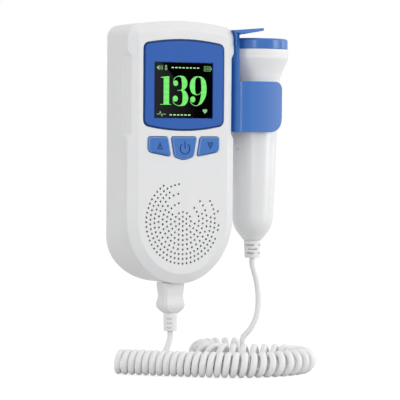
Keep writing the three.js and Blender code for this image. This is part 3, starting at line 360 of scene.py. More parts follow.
# Centre points of the wound wire, with the way out from the coil's axis at each
def curlCentres():
    total = sum(length for length, turn in coilStretches())
    fine = 2000   # short steps in which the turns are counted
    turns = [0]
    for i in range(fine):
        turns.append(turns[-1] + total / fine / curlPitch(total * (i + 0.5) / fine))
    steps = round((round(turns[-1]) + cord["quarter"]) * cord["stepsPerCurl"])
    centres, ways = [], []
    k = 0
    for i in range(steps + 1):
        target = turns[-1] * i / steps
        while k < fine - 1 and turns[k + 1] < target:
            k += 1
        part = (target - turns[k]) / (turns[k + 1] - turns[k])
        run, row, heading = coilAxis(total * (k + part) / fine)
        angle = 2 * math.pi * (i / cord["stepsPerCurl"] - cord["quarter"])
        way = sideOf(heading) * math.cos(angle) + Vector((0, 0, math.sin(angle)))
        centres.append(layPoint(run, row, cord["coilHeight"]) + way * cord["coilRadius"])
        ways.append(way)
    start = centres[0] - sideOf(math.radians(cord["startHeading"])) * cord["diameter"]
    end = centres[-1] + Vector((0, 0, cord["diameter"]))
    return [start] + centres + [end], [ways[0]] + ways + [ways[-1]]


# Even points on a centripetal Catmull-Rom curve
def leadCentres(points, count, steps=24):
    ends = [points[0] * 2 - points[1]] + points + [points[-1] * 2 - points[-2]]
    dense = []
    for i in range(len(points) - 1):
        p0, p1, p2, p3 = ends[i:i + 4]
        d0, d1, d2 = (math.sqrt((b - a).length) for a, b in ((p0, p1), (p1, p2), (p2, p3)))
        out = ((p1 - p0) / d0 - (p2 - p0) / (d0 + d1) + (p2 - p1) / d1) * d1
        into = ((p2 - p1) / d1 - (p3 - p1) / (d1 + d2) + (p3 - p2) / d2) * d1
        for k in range(steps):
            t = k / steps
            dense.append(p1 + out * t + (p2 * 3 - p1 * 3 - out * 2 - into) * t * t
                         + (p1 * 2 - p2 * 2 + out + into) * t ** 3)
    dense.append(points[-1])
    along = [0]
    for a, b in zip(dense, dense[1:]):
        along.append(along[-1] + (b - a).length)
    centres, k = [], 0
    for i in range(count + 1):
        target = along[-1] * i / count
        while k < len(along) - 2 and along[k + 1] < target:
            k += 1
        centres.append(dense[k].lerp(dense[k + 1], (target - along[k]) / (along[k + 1] - along[k])))
    return centres


# Round wire through centre points. Without ways, its rings turn as little as they can.
def wire(name, centres, ways=None, wound=cord["diameter"]):
    sides, last = cord["sides"], len(centres) - 1
    rings, way = [], None
    for i, centre in enumerate(centres):
        radius = lerp(cord["diameter"], wound, smooth(min(i, last - i) / cord["stepsPerCurl"])) / 2
        along = (centres[min(i + 1, last)] - centres[max(i - 1, 0)]).normalized()
        way = ways[i] if ways else (way or along.orthogonal())
        way = (way - along * way.dot(along)).normalized()
        across = along.cross(way)
        rings.append([tuple(centre + way * radius * math.cos(a) + across * radius * math.sin(a))
                      for a in roundAngles(sides)])
    return loft(name, rings, sharp=60)


def pathLength(centres):
    return sum((b - a).length for a, b in zip(centres, centres[1:])) * mm


def leadEnd(face, way):
    return [face + way * cord["meet"], face + way * (cord["meet"] + cord["diameter"])]


curls, curlWays = curlCentres()
down, rise = Vector((0, 0, -1)), Vector((0, 0, 1))
coilIn = -sideOf(math.radians(cord["startHeading"]))
plugMiddle, probeMiddle = ([layPoint(*p) for p in cord[part]] for part in ("plugMiddle", "probeMiddle"))
plugLead = leadCentres(leadEnd(Vector(cord["plugEnd"]), down) + plugMiddle
                       + leadEnd(curls[0], coilIn)[::-1], cord["leadSteps"])
probeLead = leadCentres(leadEnd(curls[-1], rise) + probeMiddle
                        + leadEnd(Vector(cord["probeEnd"]), down)[::-1], cord["leadSteps"])
cordPieces = {
    "curls": wire("curly_cord", curls, curlWays, cord["woundDiameter"]),
    "plug": wire("plug_lead", plugLead),
    "probe": wire("probe_lead", probeLead),
}
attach(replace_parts(cordPieces["curls"], "cord_curls"), "case")
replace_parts(cordPieces["plug"], "cord_plug_lead")
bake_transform(cordPieces["plug"])
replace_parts(cordPieces["probe"], "cord_probe_lead")
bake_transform(cordPieces["probe"])
print(f"cord made: {1000 * sum(map(pathLength, (curls, plugLead, probeLead))):.0f} mm of wire")


# Materials

# sRGB hex to the linear colour that the shaders take
def srgb(hexColour):
    values = [int(hexColour[i:i + 2], 16) / 255 for i in (1, 3, 5)]
    return tuple(v / 12.92 if v <= 0.04045 else ((v + 0.055) / 1.055) ** 2.4 for v in values) + (1.0,)


# Adds a node. values sets or links its inputs by name or number, settings are its own options.
def addNode(tree, kind, values=None, **settings):
    node = tree.nodes.new(kind)
    for key, value in settings.items():
        setattr(node, key, value)
    for key, value in (values or {}).items():
        if isinstance(value, bpy.types.NodeSocket):
            tree.links.new(value, node.inputs[key])
        else:
            node.inputs[key].default_value = value
    return node


# A material with its shader and the piece's own coordinates. fixed sets the shader's sockets.
def startMaterial(name, **fixed):
    material = bpy.data.materials.new(name)
    material.use_nodes = True
    tree = material.node_tree
    shader = tree.nodes["Principled BSDF"]
    for key, value in fixed.items():
        shader.inputs[key.replace("_", " ")].default_value = value
    place = addNode(tree, "ShaderNodeTexCoord").outputs["Object"]
    return material, tree, shader, place


# Texture scale for a feature size in millimetres
def perMetre(size):
    return 1 / (size * mm)


# Injection-moulded plastic: an even spark-eroded grain, faint cloudiness and handled patches.
# grain and depth are the size and height of the grain in millimetres.
def mouldedPlastic(name, colour, shade, roughness, grain, depth, ior=1.54, specular=0.5):
    material, tree, shader, place = startMaterial(name, IOR=ior, Specular_IOR_Level=specular)
    cloud = addNode(tree, "ShaderNodeTexNoise", {"Vector": place, "Scale": perMetre(14), "Detail": 3.0})
    tint = addNode(tree, "ShaderNodeMixRGB", {
        "Fac": cloud.outputs["Fac"], "Color1": srgb(colour), "Color2": srgb(shade)})
    tree.links.new(tint.outputs["Color"], shader.inputs["Base Color"])
    patch = addNode(tree, "ShaderNodeTexNoise", {"Vector": place, "Scale": perMetre(22), "Detail": 2.0})
    spread = addNode(tree, "ShaderNodeMapRange", {
        "Value": patch.outputs["Fac"], "To Min": roughness - 0.05, "To Max": roughness + 0.05})
    tree.links.new(spread.outputs["Result"], shader.inputs["Roughness"])
    fine = addNode(tree, "ShaderNodeTexNoise", {"Vector": place, "Scale": perMetre(grain), "Detail": 2.0})
    bump = addNode(tree, "ShaderNodeBump", {
        "Height": fine.outputs["Fac"], "Strength": 0.5, "Distance": depth * mm})
    tree.links.new(bump.outputs["Normal"], shader.inputs["Normal"])
    return material


# White ABS, moulded: satin, a little cool, with a grain of 0.1 mm drawn at 0.4 mm so that it shows
whiteAbs = mouldedPlastic("moulded_white_abs", "#E9E9EA", "#E3E4E5", 0.42, 0.4, 0.006)
# The probe's grip is the same ABS from a polished mould: long clear highlights
polishedAbs = mouldedPlastic("polished_white_abs", "#E8E8E9", "#E4E5E6", 0.3, 0.8, 0.0005, specular=1.0)
# Its round head is left satin from the mould, so it shows no streaks of light; its colour is a shade lighter
# than the grip's, which is painted light
lighterSatinAbs = mouldedPlastic("lighter_satin_white_abs", "#EFEFEF", "#EBEBEC", 0.55, 0.8, 0.002)
# Blue ABS of the holder and the probe's cap, moulded against a fine surface: a soft sheen
blueAbs = mouldedPlastic("moulded_blue_abs", "#3270BF", "#2E6CBB", 0.24, 0.35, 0.002, specular=0.45)
# The display frame is a darker blue ABS with a duller finish
frameAbs = mouldedPlastic("moulded_deep_blue_abs", "#225CB2", "#1F58AC", 0.4, 0.35, 0.004, specular=0.25)
# The keys are the holder's blue with a deeper, duller grain for the fingers
keyAbs = mouldedPlastic("grained_blue_abs", "#3A72BF", "#376EBA", 0.42, 0.35, 0.006, specular=0.3)
# The rims of the keys get a lighter blue and a glossier finish: a painted highlight, so they show as a pale
# line
rimHighlightAbs = mouldedPlastic("highlit_rim_blue_abs", "#4A80CA", "#467CC6", 0.32, 0.35, 0.001, specular=0.85)
# Engraved signs on the keys are filled with navy paint, which is matt
navyPaint = mouldedPlastic("navy_fill_paint", "#1B4C93", "#19478A", 0.55, 0.3, 0.003, ior=1.5)
# The display frame's rounded rim and a band beside it get a dark matt navy: painted shade along the frame's
# edge
edgeShadeInk = mouldedPlastic("navy_painted_edge_shade", "#0E3879", "#0C326E", 0.5, 0.3, 0.003, ior=1.5, specular=0.2)
# PVC of the cord and the reliefs: soft, white, extruded or moulded, with a low waxy sheen
whitePvc = mouldedPlastic("soft_white_pvc", "#F3F3F3", "#EFEFEF", 0.5, 0.5, 0.006, ior=1.53)
# The plug body's PVC is a shade greyer than the cord's
plugPvc = mouldedPlastic("greyer_white_pvc", "#EBEBEB", "#E7E7E7", 0.5, 0.5, 0.006, ior=1.53)


# Display window: smoked acrylic, black and glossy under its anti-glare coat, with faint wipe marks.
# Its base colour is greyer on one side of a slanted line and fades away from that corner: a painted
# reflection across the window.
def blackAcrylic():
    material, tree, shader, place = startMaterial("smoked_acrylic", IOR=1.49, Specular_IOR_Level=0.01)
    line, lineEnd, fadeStart, fadeEnd = 1.5 * mm, 1.8 * mm, -17 * mm, 8 * mm
    axes = addNode(tree, "ShaderNodeSeparateXYZ", {"Vector": place}).outputs
    slant = addNode(tree, "ShaderNodeMath", {0: axes["X"], 1: axes["Z"]}, operation="ADD")
    side = addNode(tree, "ShaderNodeMapRange", {
        "Value": slant.outputs[0], "From Min": line, "From Max": lineEnd, "To Min": 1.0, "To Max": 0.0})
    fade = addNode(tree, "ShaderNodeMapRange", {
        "Value": axes["X"], "From Min": fadeStart, "From Max": fadeEnd, "To Min": 1.0, "To Max": 0.0})
    reflectionShare = addNode(tree, "ShaderNodeMath", {0: side.outputs["Result"], 1: fade.outputs["Result"]},
                     operation="MULTIPLY")
    # Painted reflection: a grey base colour on one side of the slant, black elsewhere
    reflectionTint = addNode(tree, "ShaderNodeMixRGB", {
        "Fac": reflectionShare.outputs[0], "Color1": srgb("#010101"), "Color2": srgb("#2A2B2C")})
    tree.links.new(reflectionTint.outputs["Color"], shader.inputs["Base Color"])
    wipe = addNode(tree, "ShaderNodeTexNoise", {
        "Vector": place, "Scale": perMetre(9), "Detail": 4.0, "Distortion": 1.5})
    smear = addNode(tree, "ShaderNodeMapRange", {
        "Value": wipe.outputs["Fac"], "To Min": 0.03, "To Max": 0.09})
    tree.links.new(smear.outputs["Result"], shader.inputs["Roughness"])
    return material


# Lit display dots: flat light with faint bands across it, 2.76 mm apart. At a scale of 1 the wave
# texture repeats every 2 pi / 20 metres.
def litPixels(name, colour, shade):
    material, tree, shader, place = startMaterial(name, Roughness=0.4, Emission_Strength=1.0)
    shader.inputs["Base Color"].default_value = srgb("#0A140A")
    bands = addNode(tree, "ShaderNodeTexWave", {
        "Vector": place, "Scale": 2 * math.pi / 20 * perMetre(2.76)}, wave_type="BANDS", bands_direction="Z")
    glow = addNode(tree, "ShaderNodeMixRGB", {
        "Fac": bands.outputs["Fac"], "Color1": srgb(colour), "Color2": srgb(shade)})
    tree.links.new(glow.outputs["Color"], shader.inputs["Emission Color"])
    return material


# Plated or rolled metal with fine scratches one way, which are scratch millimetres long
def plainMetal(name, colour, roughness, scratch, stretch=12):
    material, tree, shader, place = startMaterial(name, Metallic=1.0)
    drawn = addNode(tree, "ShaderNodeMapping", {"Vector": place, "Scale": (1.0, 1.0, stretch)})
    lines = addNode(tree, "ShaderNodeTexNoise", {
        "Vector": drawn.outputs["Vector"], "Scale": perMetre(scratch), "Detail": 3.0})
    tint = addNode(tree, "ShaderNodeMixRGB", {
        "Fac": lines.outputs["Fac"], "Color1": srgb(colour), "Color2": srgb("#8E9196")})
    tree.links.new(tint.outputs["Color"], shader.inputs["Base Color"])
    spread = addNode(tree, "ShaderNodeMapRange", {
        "Value": lines.outputs["Fac"], "To Min": roughness - 0.08, "To Max": roughness + 0.12})
    tree.links.new(spread.outputs["Result"], shader.inputs["Roughness"])
    return material


# Inner goods such as board, card or ceramic: mottled, with size and depth of the mottle in millimetres
def flatGoods(name, colour, shade, roughness, size, depth, ior=1.5):
    material, tree, shader, place = startMaterial(name, Roughness=roughness, IOR=ior)
    mottle = addNode(tree, "ShaderNodeTexVoronoi", {"Vector": place, "Scale": perMetre(size)})
    tint = addNode(tree, "ShaderNodeMixRGB", {
        "Fac": mottle.outputs["Distance"], "Color1": srgb(colour), "Color2": srgb(shade)})
    tree.links.new(tint.outputs["Color"], shader.inputs["Base Color"])
    bump = addNode(tree, "ShaderNodeBump", {
        "Height": mottle.outputs["Distance"], "Strength": 0.6, "Distance": depth * mm})
    tree.links.new(bump.outputs["Normal"], shader.inputs["Normal"])
    return material


acrylic = blackAcrylic()
# The large figures glow green, the small ones and the dashes paler or dimmer
greenLight = litPixels("lit_green_dots", "#68EA5E", "#5FDF56")
paleLight = litPixels("lit_pale_dots", "#C0FAB8", "#B2F0AA")
signLight = litPixels("lit_sign_dots", "#8CC486", "#7EB878")
dimLight = litPixels("dimly_lit_dots", "#458F3E", "#3C8436")
# Nickel, zinc and tin on steel, and bare stamped steel: shiny, in lighter and darker greys
springSteel = plainMetal("nickel_plated_steel", "#C4C6C9", 0.3, 1.2)
screwSteel = plainMetal("zinc_plated_steel", "#B4B7BB", 0.38, 0.8)
tinPlate = plainMetal("tinned_steel", "#C9CBCC", 0.34, 1.5)
displayCan = plainMetal("stamped_display_frame", "#9EA1A6", 0.36, 1.0)
# Loudspeaker: a dark grey fired magnet, black matt felt and a brown-black paper cone
ferrite = flatGoods("sintered_ferrite", "#4A4C50", "#3A3C40", 0.5, 0.4, 0.01)
felt = flatGoods("black_wool_felt", "#17181A", "#0C0D0E", 0.95, 0.35, 0.08)
paper = flatGoods("pressed_paper_cone", "#2D2723", "#211C19", 0.85, 0.5, 0.04)
# Boards with a green mask, an amber ribbon, a black socket and the slate-blue wraps of the cells
board = flatGoods("solder_masked_fibreglass", "#1B6A41", "#15573A", 0.35, 1.6, 0.01)
ribbonFilm = flatGoods("polyimide_film", "#C8832F", "#B87728", 0.35, 1.0, 0.004)
nylon = flatGoods("black_moulded_nylon", "#202226", "#1A1C1F", 0.5, 0.4, 0.006, ior=1.53)
sleeve = flatGoods("printed_shrink_sleeve", "#2B3B53", "#26344A", 0.32, 6, 0.004)
# Probe: cream crystals on a dull dark backing, behind a face of pale blue-grey cast resin
ceramic = flatGoods("piezo_ceramic", "#D9CFA6", "#D2C699", 0.4, 0.3, 0.004)
filledEpoxy = flatGoods("filled_epoxy", "#3C3C3D", "#313132", 0.8, 0.5, 0.02)
faceResin = flatGoods("cast_face_resin", "#B9C3CF", "#B2BCC9", 0.38, 3, 0.004, ior=1.55)


# Gives a piece its material and puts it on its body
def dress(piece, material, slot, body=None, *replaced):
    piece.data.materials.clear()
    piece.data.materials.append(material)
    if replaced:
        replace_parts(piece, *replaced)
    if body:
        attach(piece, body)
    return piece


# Gives one more material to the faces that pass a test of their middle, in millimetres, and normal
def paint(piece, material, test):
    piece.data.materials.append(material)
    for polygon in piece.data.polygons:
        if test(polygon.center / mm, polygon.normal):
            polygon.material_index = len(piece.data.materials) - 1


for piece in cordPieces.values():
    dress(piece, whitePvc, "soft_white")
print("materials made")


# Case, with its levels as in the CAD
case = {
    "halfWidth": 31.4, "crown": 36, "crownRise": 3.4, "shoulder": 6, "tail": -97.6,
    "frontTail": 34, "rearTail": 23.7, "front": -27, "parting": -21.4, "seam": 0.06,
    "wall": 2, "rearWall": 2.4, "rearRound": 4.5, "rearFlatFrom": 6,
    # Levels of the rear cover: close together as far as the recesses reach, then wider apart
    "fineStep": 0.45, "fineLevels": 12, "wideLevels": [-14.5, -12, -9.5, -7, -5.5],
    "bevelWidth": 5.1, "bevelDepth": 2.38, "bevelFoot": 0.35, "bevelTop": 0.3, "flatFrom": 6.9,
}
# Where the covers meet: the step in the front one, and the tongue of the rear one in it
meeting = {"step": 0.85, "stepDepth": 1.5, "tongue": 1.05, "tongueReach": 1.4, "bevelFrom": -23.6}
# Pillars in the covers for the case screws, and shorter ones for the main board
pillar = {
    "places": [(24, 26.5), (24, -52), (-24, 26.5), (-24, -52)], "radius": 3, "hole": 1.4,
    "frontEnd": -13.65, "rearEnd": -13.35, "pilotEnd": -12, "screwFrom": -14.5,
    "well": 2.5, "wellFloor": -6,
    "boardPlaces": [(17.1, 20), (-17.1, 20), (18.65, -38.5), (-18.65, -38.5)],
    "boardRadius": 1.8, "boardEnd": -22.5,
}
# How far a cutter reaches past the face that it cuts
overrun = 1


# Case outline, drawn in by an inset: arched crown, round shoulders, straight sides and an oval tail
def caseOutline(inset, tailHeight):
    half = case["halfWidth"] - inset
    crownRadius = (case["halfWidth"] ** 2 + case["crownRise"] ** 2) / (2 * case["crownRise"])
    arch = crownRadius - inset
    shoulder = max(case["shoulder"] - inset, case["shoulder"] / 4)
    archZ = case["crown"] - crownRadius
    shoulderX = half - shoulder
    shoulderZ = archZ + math.sqrt((arch - shoulder) ** 2 - shoulderX ** 2)
    lean = math.asin(shoulderX / (arch - shoulder))
    shoulderSteps, crownSteps, tailSteps = 10, 36, 90
    tailTop = case["tail"] + tailHeight
    points = []
    for i in range(shoulderSteps + 1):
        angle = (math.pi / 2 - lean) * i / shoulderSteps
        points.append((shoulderX + shoulder * math.cos(angle), shoulderZ + shoulder * math.sin(angle)))
    for i in range(1, crownSteps):
        angle = lean * (1 - 2 * i / crownSteps)
        points.append((arch * math.sin(angle), archZ + arch * math.cos(angle)))
    points += [(-x, z) for x, z in reversed(points[:shoulderSteps + 1])]
    sideLevels = [z for z in flankLevels if tailTop < z < shoulderZ]
    points += [(-half, z) for z in sideLevels]
    for i in range(tailSteps + 1):
        angle = math.pi * (1 + i / tailSteps)
        points.append((half * math.cos(angle), tailTop + (tailHeight - inset) * math.sin(angle)))
    points += [(half, z) for z in reversed(sideLevels)]
    return points


# Heights at which the straight sides have points, from (upper end, lower end, step) of each stretch:
# close together at the ramps of the recesses
def flankHeights():
    stretches = [(25, 20.6, 1), (20.6, 17, 0.2), (17, -20.4, 3.4), (-20.4, -24.2, 0.2), (-24.2, -62, 4.2)]
    heights = []
    for high, low, step in stretches:
        count = round((high - low) / step)
        heights += [lerp(high, low, i / count) for i in range(count)]
    return heights


flankLevels = flankHeights()

# Side recesses that take the holder: a seat that slopes across the front edge, with ramps at its ends
recess = {
    "rear": -19.6, "front": -25.5, "cut": 1.9, "top": 17.7, "foot": -21.2, "ramp": 3.0, "softness": 0.3,
    "frontWall": 0.7, "rearWall": 0.8,
}


# Draws a point of the case in to the recess's seat where it stands proud of it
def recessed(x, y, z):
    past = max(z - recess["top"], recess["foot"] - z)
    shift = recess["cut"] * max(past, 0) / recess["ramp"]
    share = min((recess["rear"] + shift - y) / (recess["rear"] + shift - recess["front"]), 1)
    seat = case["halfWidth"] + shift - share * recess["cut"]
    return math.copysign(softMin(abs(x), seat, recess["softness"]), x)


# Skin of the case through (y, inset, tail height) levels
def caseSkin(name, levels, cut=True):
    rings = []
    for y, inset, tailHeight in levels:
        outline = caseOutline(inset, tailHeight)
        rings.append([(recessed(x, y, z) if cut else x, y, z) for x, z in outline])
    return loft(name, rings)


# Keeps a wall between a lining and the recess's seat
def drawLining(piece, wall):
    for vertex in piece.data.vertices:
        x, y, z = (c / mm for c in vertex.co)
        limit = abs(recessed(math.copysign(99, x), y, z)) - wall
        vertex.co.x = math.copysign(min(abs(x), limit), x) * mm


# Bars at the places of the case screws
def screwBars(name, radius, near, far, sides):
    return [barY(name, x, z, radius, near, far, sides) for x, z in pillar["places"]]


# Loudspeaker holes: on rings round its middle, less a bare patch above to the right
holes = {
    "middle": -65.7, "pitch": 2.39, "radius": 0.56, "chamfer": 0.03, "neck": 0.35, "rearRadius": 0.95,
    # For each ring its count of places, and the angles between which it has no holes
    "rings": [(6, 0, 0), (12, 0, 0), (18, -59, 99), (24, -14, 44), (30, -47, 71), (32, -10, 44),
              (45, -27, 83), (50, -6, 57), (56, -31, 76)],
    # Single places, as (ring, place), that have no hole
    "blind": [(9, 41), (9, 42), (9, 45)],
}


def speakerHoles():
    places = [(0, holes["middle"])]
    for ring, (count, low, high) in enumerate(holes["rings"], 1):
        reach = holes["pitch"] * ring
        for i in range(count):
            angle = 360 * i / count - 180
            if low < angle < high or (ring, i) in holes["blind"]:
                continue
            turn = math.radians(angle)
            places.append((reach * math.sin(turn), holes["middle"] + reach * math.cos(turn)))
    return places


# All loudspeaker holes as one cutter, each with a small lead-in at the face and wider behind its neck
def holeCutter(sides=16):
    face, back = case["front"], case["front"] + case["wall"]
    radius, chamfer, rear = holes["radius"], holes["chamfer"], holes["rearRadius"]
    levels = [(face - overrun, radius + chamfer), (face, radius + chamfer), (face + chamfer, radius),
              (face + holes["neck"], radius), (back, rear), (back + 0.5, rear)]
    points, faces = [], []
    for x, z in speakerHoles():
        first = len(points)
        last = first + (len(levels) - 1) * sides
        for y, r in levels:
            points += [(x + r * math.cos(a), y, z + r * math.sin(a)) for a in roundAngles(sides)]
        for low in range(first, last, sides):
            for k in range(sides):
                j = (k + 1) % sides
                faces.append((low + k, low + j, low + sides + j, low + sides + k))
        faces.append(tuple(reversed(range(first, first + sides))))
        faces.append(tuple(range(last, last + sides)))
    return outward(makePiece("holes", points, faces))


# Display frame and window, and the keys below it
display = {
    "top": 26.6, "foot": -19.6, "width": 47.5, "shift": 0.25, "topBow": 2.3, "footBow": 2.7, "corner": 3.5,
    "proud": 0.3, "thickness": 1.2, "seatDepth": 1.2, "gap": 0.12, "edge": 0.6,
    # shadeBand is the width of the painted shade round the frame's edge, plain the room that it leaves round
    # the window
    "shadeBand": 0.3, "shadeBandRise": 0.015, "plain": 3, "lip": 0.3, "ledge": 1.3,
    "windowHalf": 17.1, "windowTop": 14.8, "windowFoot": -13.2,
    "glassFront": -27.1, "glassBack": -26.1, "glassEdge": 0.12,
}


def frameCorners(steps=16):
    corners = []
    for z, bow, way in ((display["top"], -display["topBow"], 1), (display["foot"], display["footBow"], -1)):
        for i in range(steps + 1):
            share = way * (1 - 2 * i / steps)
            corner = display["corner"] if i in (0, steps) else 0
            corners.append((display["shift"] + display["width"] / 2 * share, z + bow * share ** 2, corner))
    return corners


def rectangle(lowX, highX, lowZ, highZ, radius=0):
    return [(highX, highZ, radius), (lowX, highZ, radius), (lowX, lowZ, radius), (highX, lowZ, radius)]


windowCorners = rectangle(-display["windowHalf"], display["windowHalf"],
                          display["windowFoot"], display["windowTop"])
key = {
    "top": -22.5, "corner": 1.7, "sideFoot": -32.9, "innerFoot": 1.9, "outerFootZ": -30.5, "outerFoot": 2.6,
    "proud": 1.0, "slack": 0.2, "gap": 0.05, "lip": 0.12, "edge": 0.95,
    "flange": 0.9, "flangeFront": -24.7, "rear": -23.9, "engraving": 0.35,
}


# Outline of a side key from its outer side, its inner upper corner and its inner lower one
def sideKey(outer, upper, lower):
    return [(outer, key["top"], key["corner"]), (upper, key["top"], key["corner"]),
            (lower, key["sideFoot"], key["innerFoot"]), (outer, key["outerFootZ"], key["outerFoot"])]


keyOutlines = {
    "power": [(8.0, key["top"], key["corner"]), (-7.5, key["top"], key["corner"]),
              (-5.6, -33.0, 1.6), (0.1, -34.7, 2), (6.1, -33.0, 1.6)],
    "up": sideKey(-20.95, -9.15, -7.25),
    "down": sideKey(21.4, 9.65, 7.75),
}


# Cutter for an opening in the front face, with a rounded lip
def softOpening(name, corners, gap, back, lip, hollow=0.3):
    face = case["front"]
    levels = [(face - overrun, gap + lip), (face, gap + lip), (face + lip * hollow, gap + lip * hollow),
              (face + lip, gap), (back, gap)]
    return plate(name, corners, levels)


def frontCover():
    face, parting, wall, tail = case["front"], case["parting"], case["wall"], case["frontTail"]
    edge = roundedOutline([
        (parting, 0, 0), (face + case["bevelDepth"], 0, case["bevelFoot"]),
        (face, case["bevelWidth"], case["bevelTop"]), (face, case["flatFrom"], 0),
    ], steps=4, closed=False)
    cover = caseSkin("front_cover", [(y, inset, tail) for y, inset in refined(edge, 0.5)])
    stepEnd = parting - meeting["stepDepth"]
    cavity = caseSkin("cavity", [
        (parting + overrun, meeting["step"], tail), (stepEnd, meeting["step"], tail), (stepEnd, wall, tail),
        (meeting["bevelFrom"], wall, tail), (face + wall, case["bevelWidth"] + 1, tail),
    ], cut=False)
    drawLining(cavity, recess["frontWall"])
    carve(cover, [cavity])
    root, through = face + wall / 2, face + wall + overrun
    pillars = screwBars("pillar", pillar["radius"], root, pillar["frontEnd"], 32)
    pillars += [barY("pillar", x, z, pillar["boardRadius"], root, pillar["boardEnd"])
                for x, z in pillar["boardPlaces"]]
    carve(cover, pillars, "UNION")
    cuts = screwBars("pilot", pillar["hole"], face + wall, pillar["pilotEnd"], 20)
    cuts.append(softOpening("seat", frameCorners(), display["gap"], face + display["seatDepth"],
                            display["lip"]))
    cuts.append(plate("window", grow(windowCorners, -display["ledge"]), [(face - overrun, 0), (through, 0)]))
    cuts += [softOpening("keyway", outline, key["gap"], through, key["lip"])
             for outline in keyOutlines.values()]
    carve(cover, cuts + [holeCutter()])
    return dress(evenNormals(cover), whiteAbs, "white_shell", "case", "front_shell")


frontCover()
print("front cover made")

# Rear cover: deep tub with the battery bay, screw wells, door seat and plug hole
door = {
    "half": 16.55, "foot": -82.1, "top": -23.1, "thickness": 1.2, "corner": 2, "pinCorner": 0.5, "gap": 0.3,
    "innerEdge": 0.15, "edge": 0.35, "seat": 1.65, "seatLip": 0.2,
    "axisY": -0.6, "axisZ": -23.7, "pinRadius": 0.45, "pinReach": 17.75, "pinFit": 0.15,
    "dishZ": -74.6, "dishRadius": 6, "dishDepth": 0.4, "ribs": 5, "ribPitch": 1.6, "ribHalf": 0.3,
}
bay = {"half": 15.3, "wall": 1.2, "front": -18.5, "floor": -17.3, "foot": -80.6, "top": -24.6}
plug = {"y": -15, "tipHalf": 3.45, "tipDeep": 1.55, "fit": 0.2}
doorCorners = [(side * door["half"], door[end], door[corner]) for side, end, corner in (
    (1, "top", "pinCorner"), (-1, "top", "pinCorner"), (-1, "foot", "corner"), (1, "foot", "corner"))]


def rearCover():
    parting, tail = case["parting"] + case["seam"], case["frontTail"]
    bend, rearTail, wall = case["rearRound"], case["rearTail"], case["wall"]
    depths = [parting + case["fineStep"] * k for k in range(case["fineLevels"])] + case["wideLevels"]
    levels = [(y, 0, lerp(tail, rearTail, (y - parting) / (-bend - parting))) for y in depths]
    for k in range(11):
        angle = math.pi / 2 * k / 10
        levels.append((-bend * (1 - math.sin(angle)), bend * (1 - math.cos(angle)), rearTail))
    levels.append((0, case["rearFlatFrom"], rearTail))
    cover = caseSkin("rear_cover", levels)
    tongue = caseSkin("tongue", [
        (parting - meeting["tongueReach"], meeting["tongue"], tail),
        (parting + overrun, meeting["tongue"], tail),
    ], cut=False)
    cavity = caseSkin("cavity", [
        (parting - 3, wall, tail), (parting + 2, wall, tail), (-bend, wall, rearTail),
        (-case["rearWall"], bend, rearTail),
    ], cut=False)
    for lining in (tongue, cavity):
        drawLining(lining, recess["rearWall"])
    carve(cover, [tongue], "UNION")
    carve(cover, [cavity])
    half, side, rear = bay["half"], bay["wall"], -case["rearWall"] / 2
    joins = screwBars("boss", pillar["radius"], pillar["rearEnd"], rear, 32)
    joins.append(block("bay", (-half - side, bay["front"], bay["foot"] - side),
                       (half + side, rear, bay["top"] + side)))
    carve(cover, joins, "UNION")
    cuts = [block("bayInner", (-half, bay["floor"], bay["foot"]), (half, overrun, bay["top"]))]
    for x, z in pillar["places"]:
        cuts.append(barY("screwHole", x, z, pillar["hole"], pillar["screwFrom"], overrun, 20))
        cuts.append(lipWell("screwWell", x, z, pillar["well"], pillar["wellFloor"]))
    lip = door["seatLip"]
    cuts.append(plate("doorSeat", grow(doorCorners, door["gap"]),
                      [(-door["seat"], 0), (-0.25, 0), (0, lip), (overrun, lip)]))
    reach = door["pinReach"] + door["gap"]
    cuts.append(pinBar("pinHole", reach, door["pinRadius"] + door["pinFit"]))
    wide, deep = plug["tipHalf"] + plug["fit"], plug["tipDeep"] + plug["fit"]
    cuts.append(block("plugHole", (-wide, plug["y"] - deep, case["tail"] - overrun),
                      (wide, plug["y"] + deep, case["tail"] + wall + overrun)))
    carve(cover, cuts)
    return dress(evenNormals(cover), whiteAbs, "white_shell", "case", "rear_shell")


# Cutter for a round well in the back, with a small chamfer at its mouth
def lipWell(name, x, z, radius, floor, lip=0.25):
    mouth = radius + lip
    profile = [(0, floor), (radius, floor), (radius, -lip), (mouth, 0), (mouth, overrun), (0, overrun)]
    return lathe(name, profile, facing(x, z), 40)


# Round bar along X on the door's axis
def pinBar(name, reach, radius, sides=20):
    return loft(name, [[(x, door["axisY"] + radius * math.cos(a), door["axisZ"] + radius * math.sin(a))
                        for a in roundAngles(sides)] for x in (-reach, reach)])


rearCover()
print("rear cover made")


def batteryDoor():
    inner = door["innerEdge"]
    levels = [(-door["thickness"], -inner)] + edgeLevels(0, -door["thickness"] + inner, door["edge"])
    lid = plate("battery_lid", doorCorners, levels)
    carve(lid, [pinBar("pin", door["pinReach"], door["pinRadius"])], "UNION")
    z, radius, depth = door["dishZ"], door["dishRadius"], door["dishDepth"]
    mouth = radius + 0.4
    dish = [(0, -depth), (radius - 0.5, -depth), (radius, 0), (mouth, 0.4), (mouth, overrun), (0, overrun)]
    carve(lid, [lathe("dish", dish, facing(0, z))])
    ribs = []
    for i in range(door["ribs"]):
        rise = (i - (door["ribs"] - 1) / 2) * door["ribPitch"]
        half, thick = math.sqrt((radius - 1) ** 2 - rise ** 2), door["ribHalf"]
        ribs.append(plate("rib", rectangle(-half, half, z + rise - thick, z + rise + thick, 0.28),
                          [(-depth - 0.3, 0), (-0.15, 0), (-0.02, -0.15)]))
    carve(lid, ribs, "UNION")
    return dress(evenNormals(lid), whiteAbs, "white_shell", "battery_door", "battery_door")


batteryDoor()

screw = {
    "tip": -20.6, "tipRadius": 0.4, "radius": 1.1, "point": 1, "seat": -5.7, "head": 2.2,
    "rim": 0.6, "dome": 1.2, "height": 1.8, "slotFloor": 0.9, "slotReach": 1.3, "slotHalf": 0.22,
}


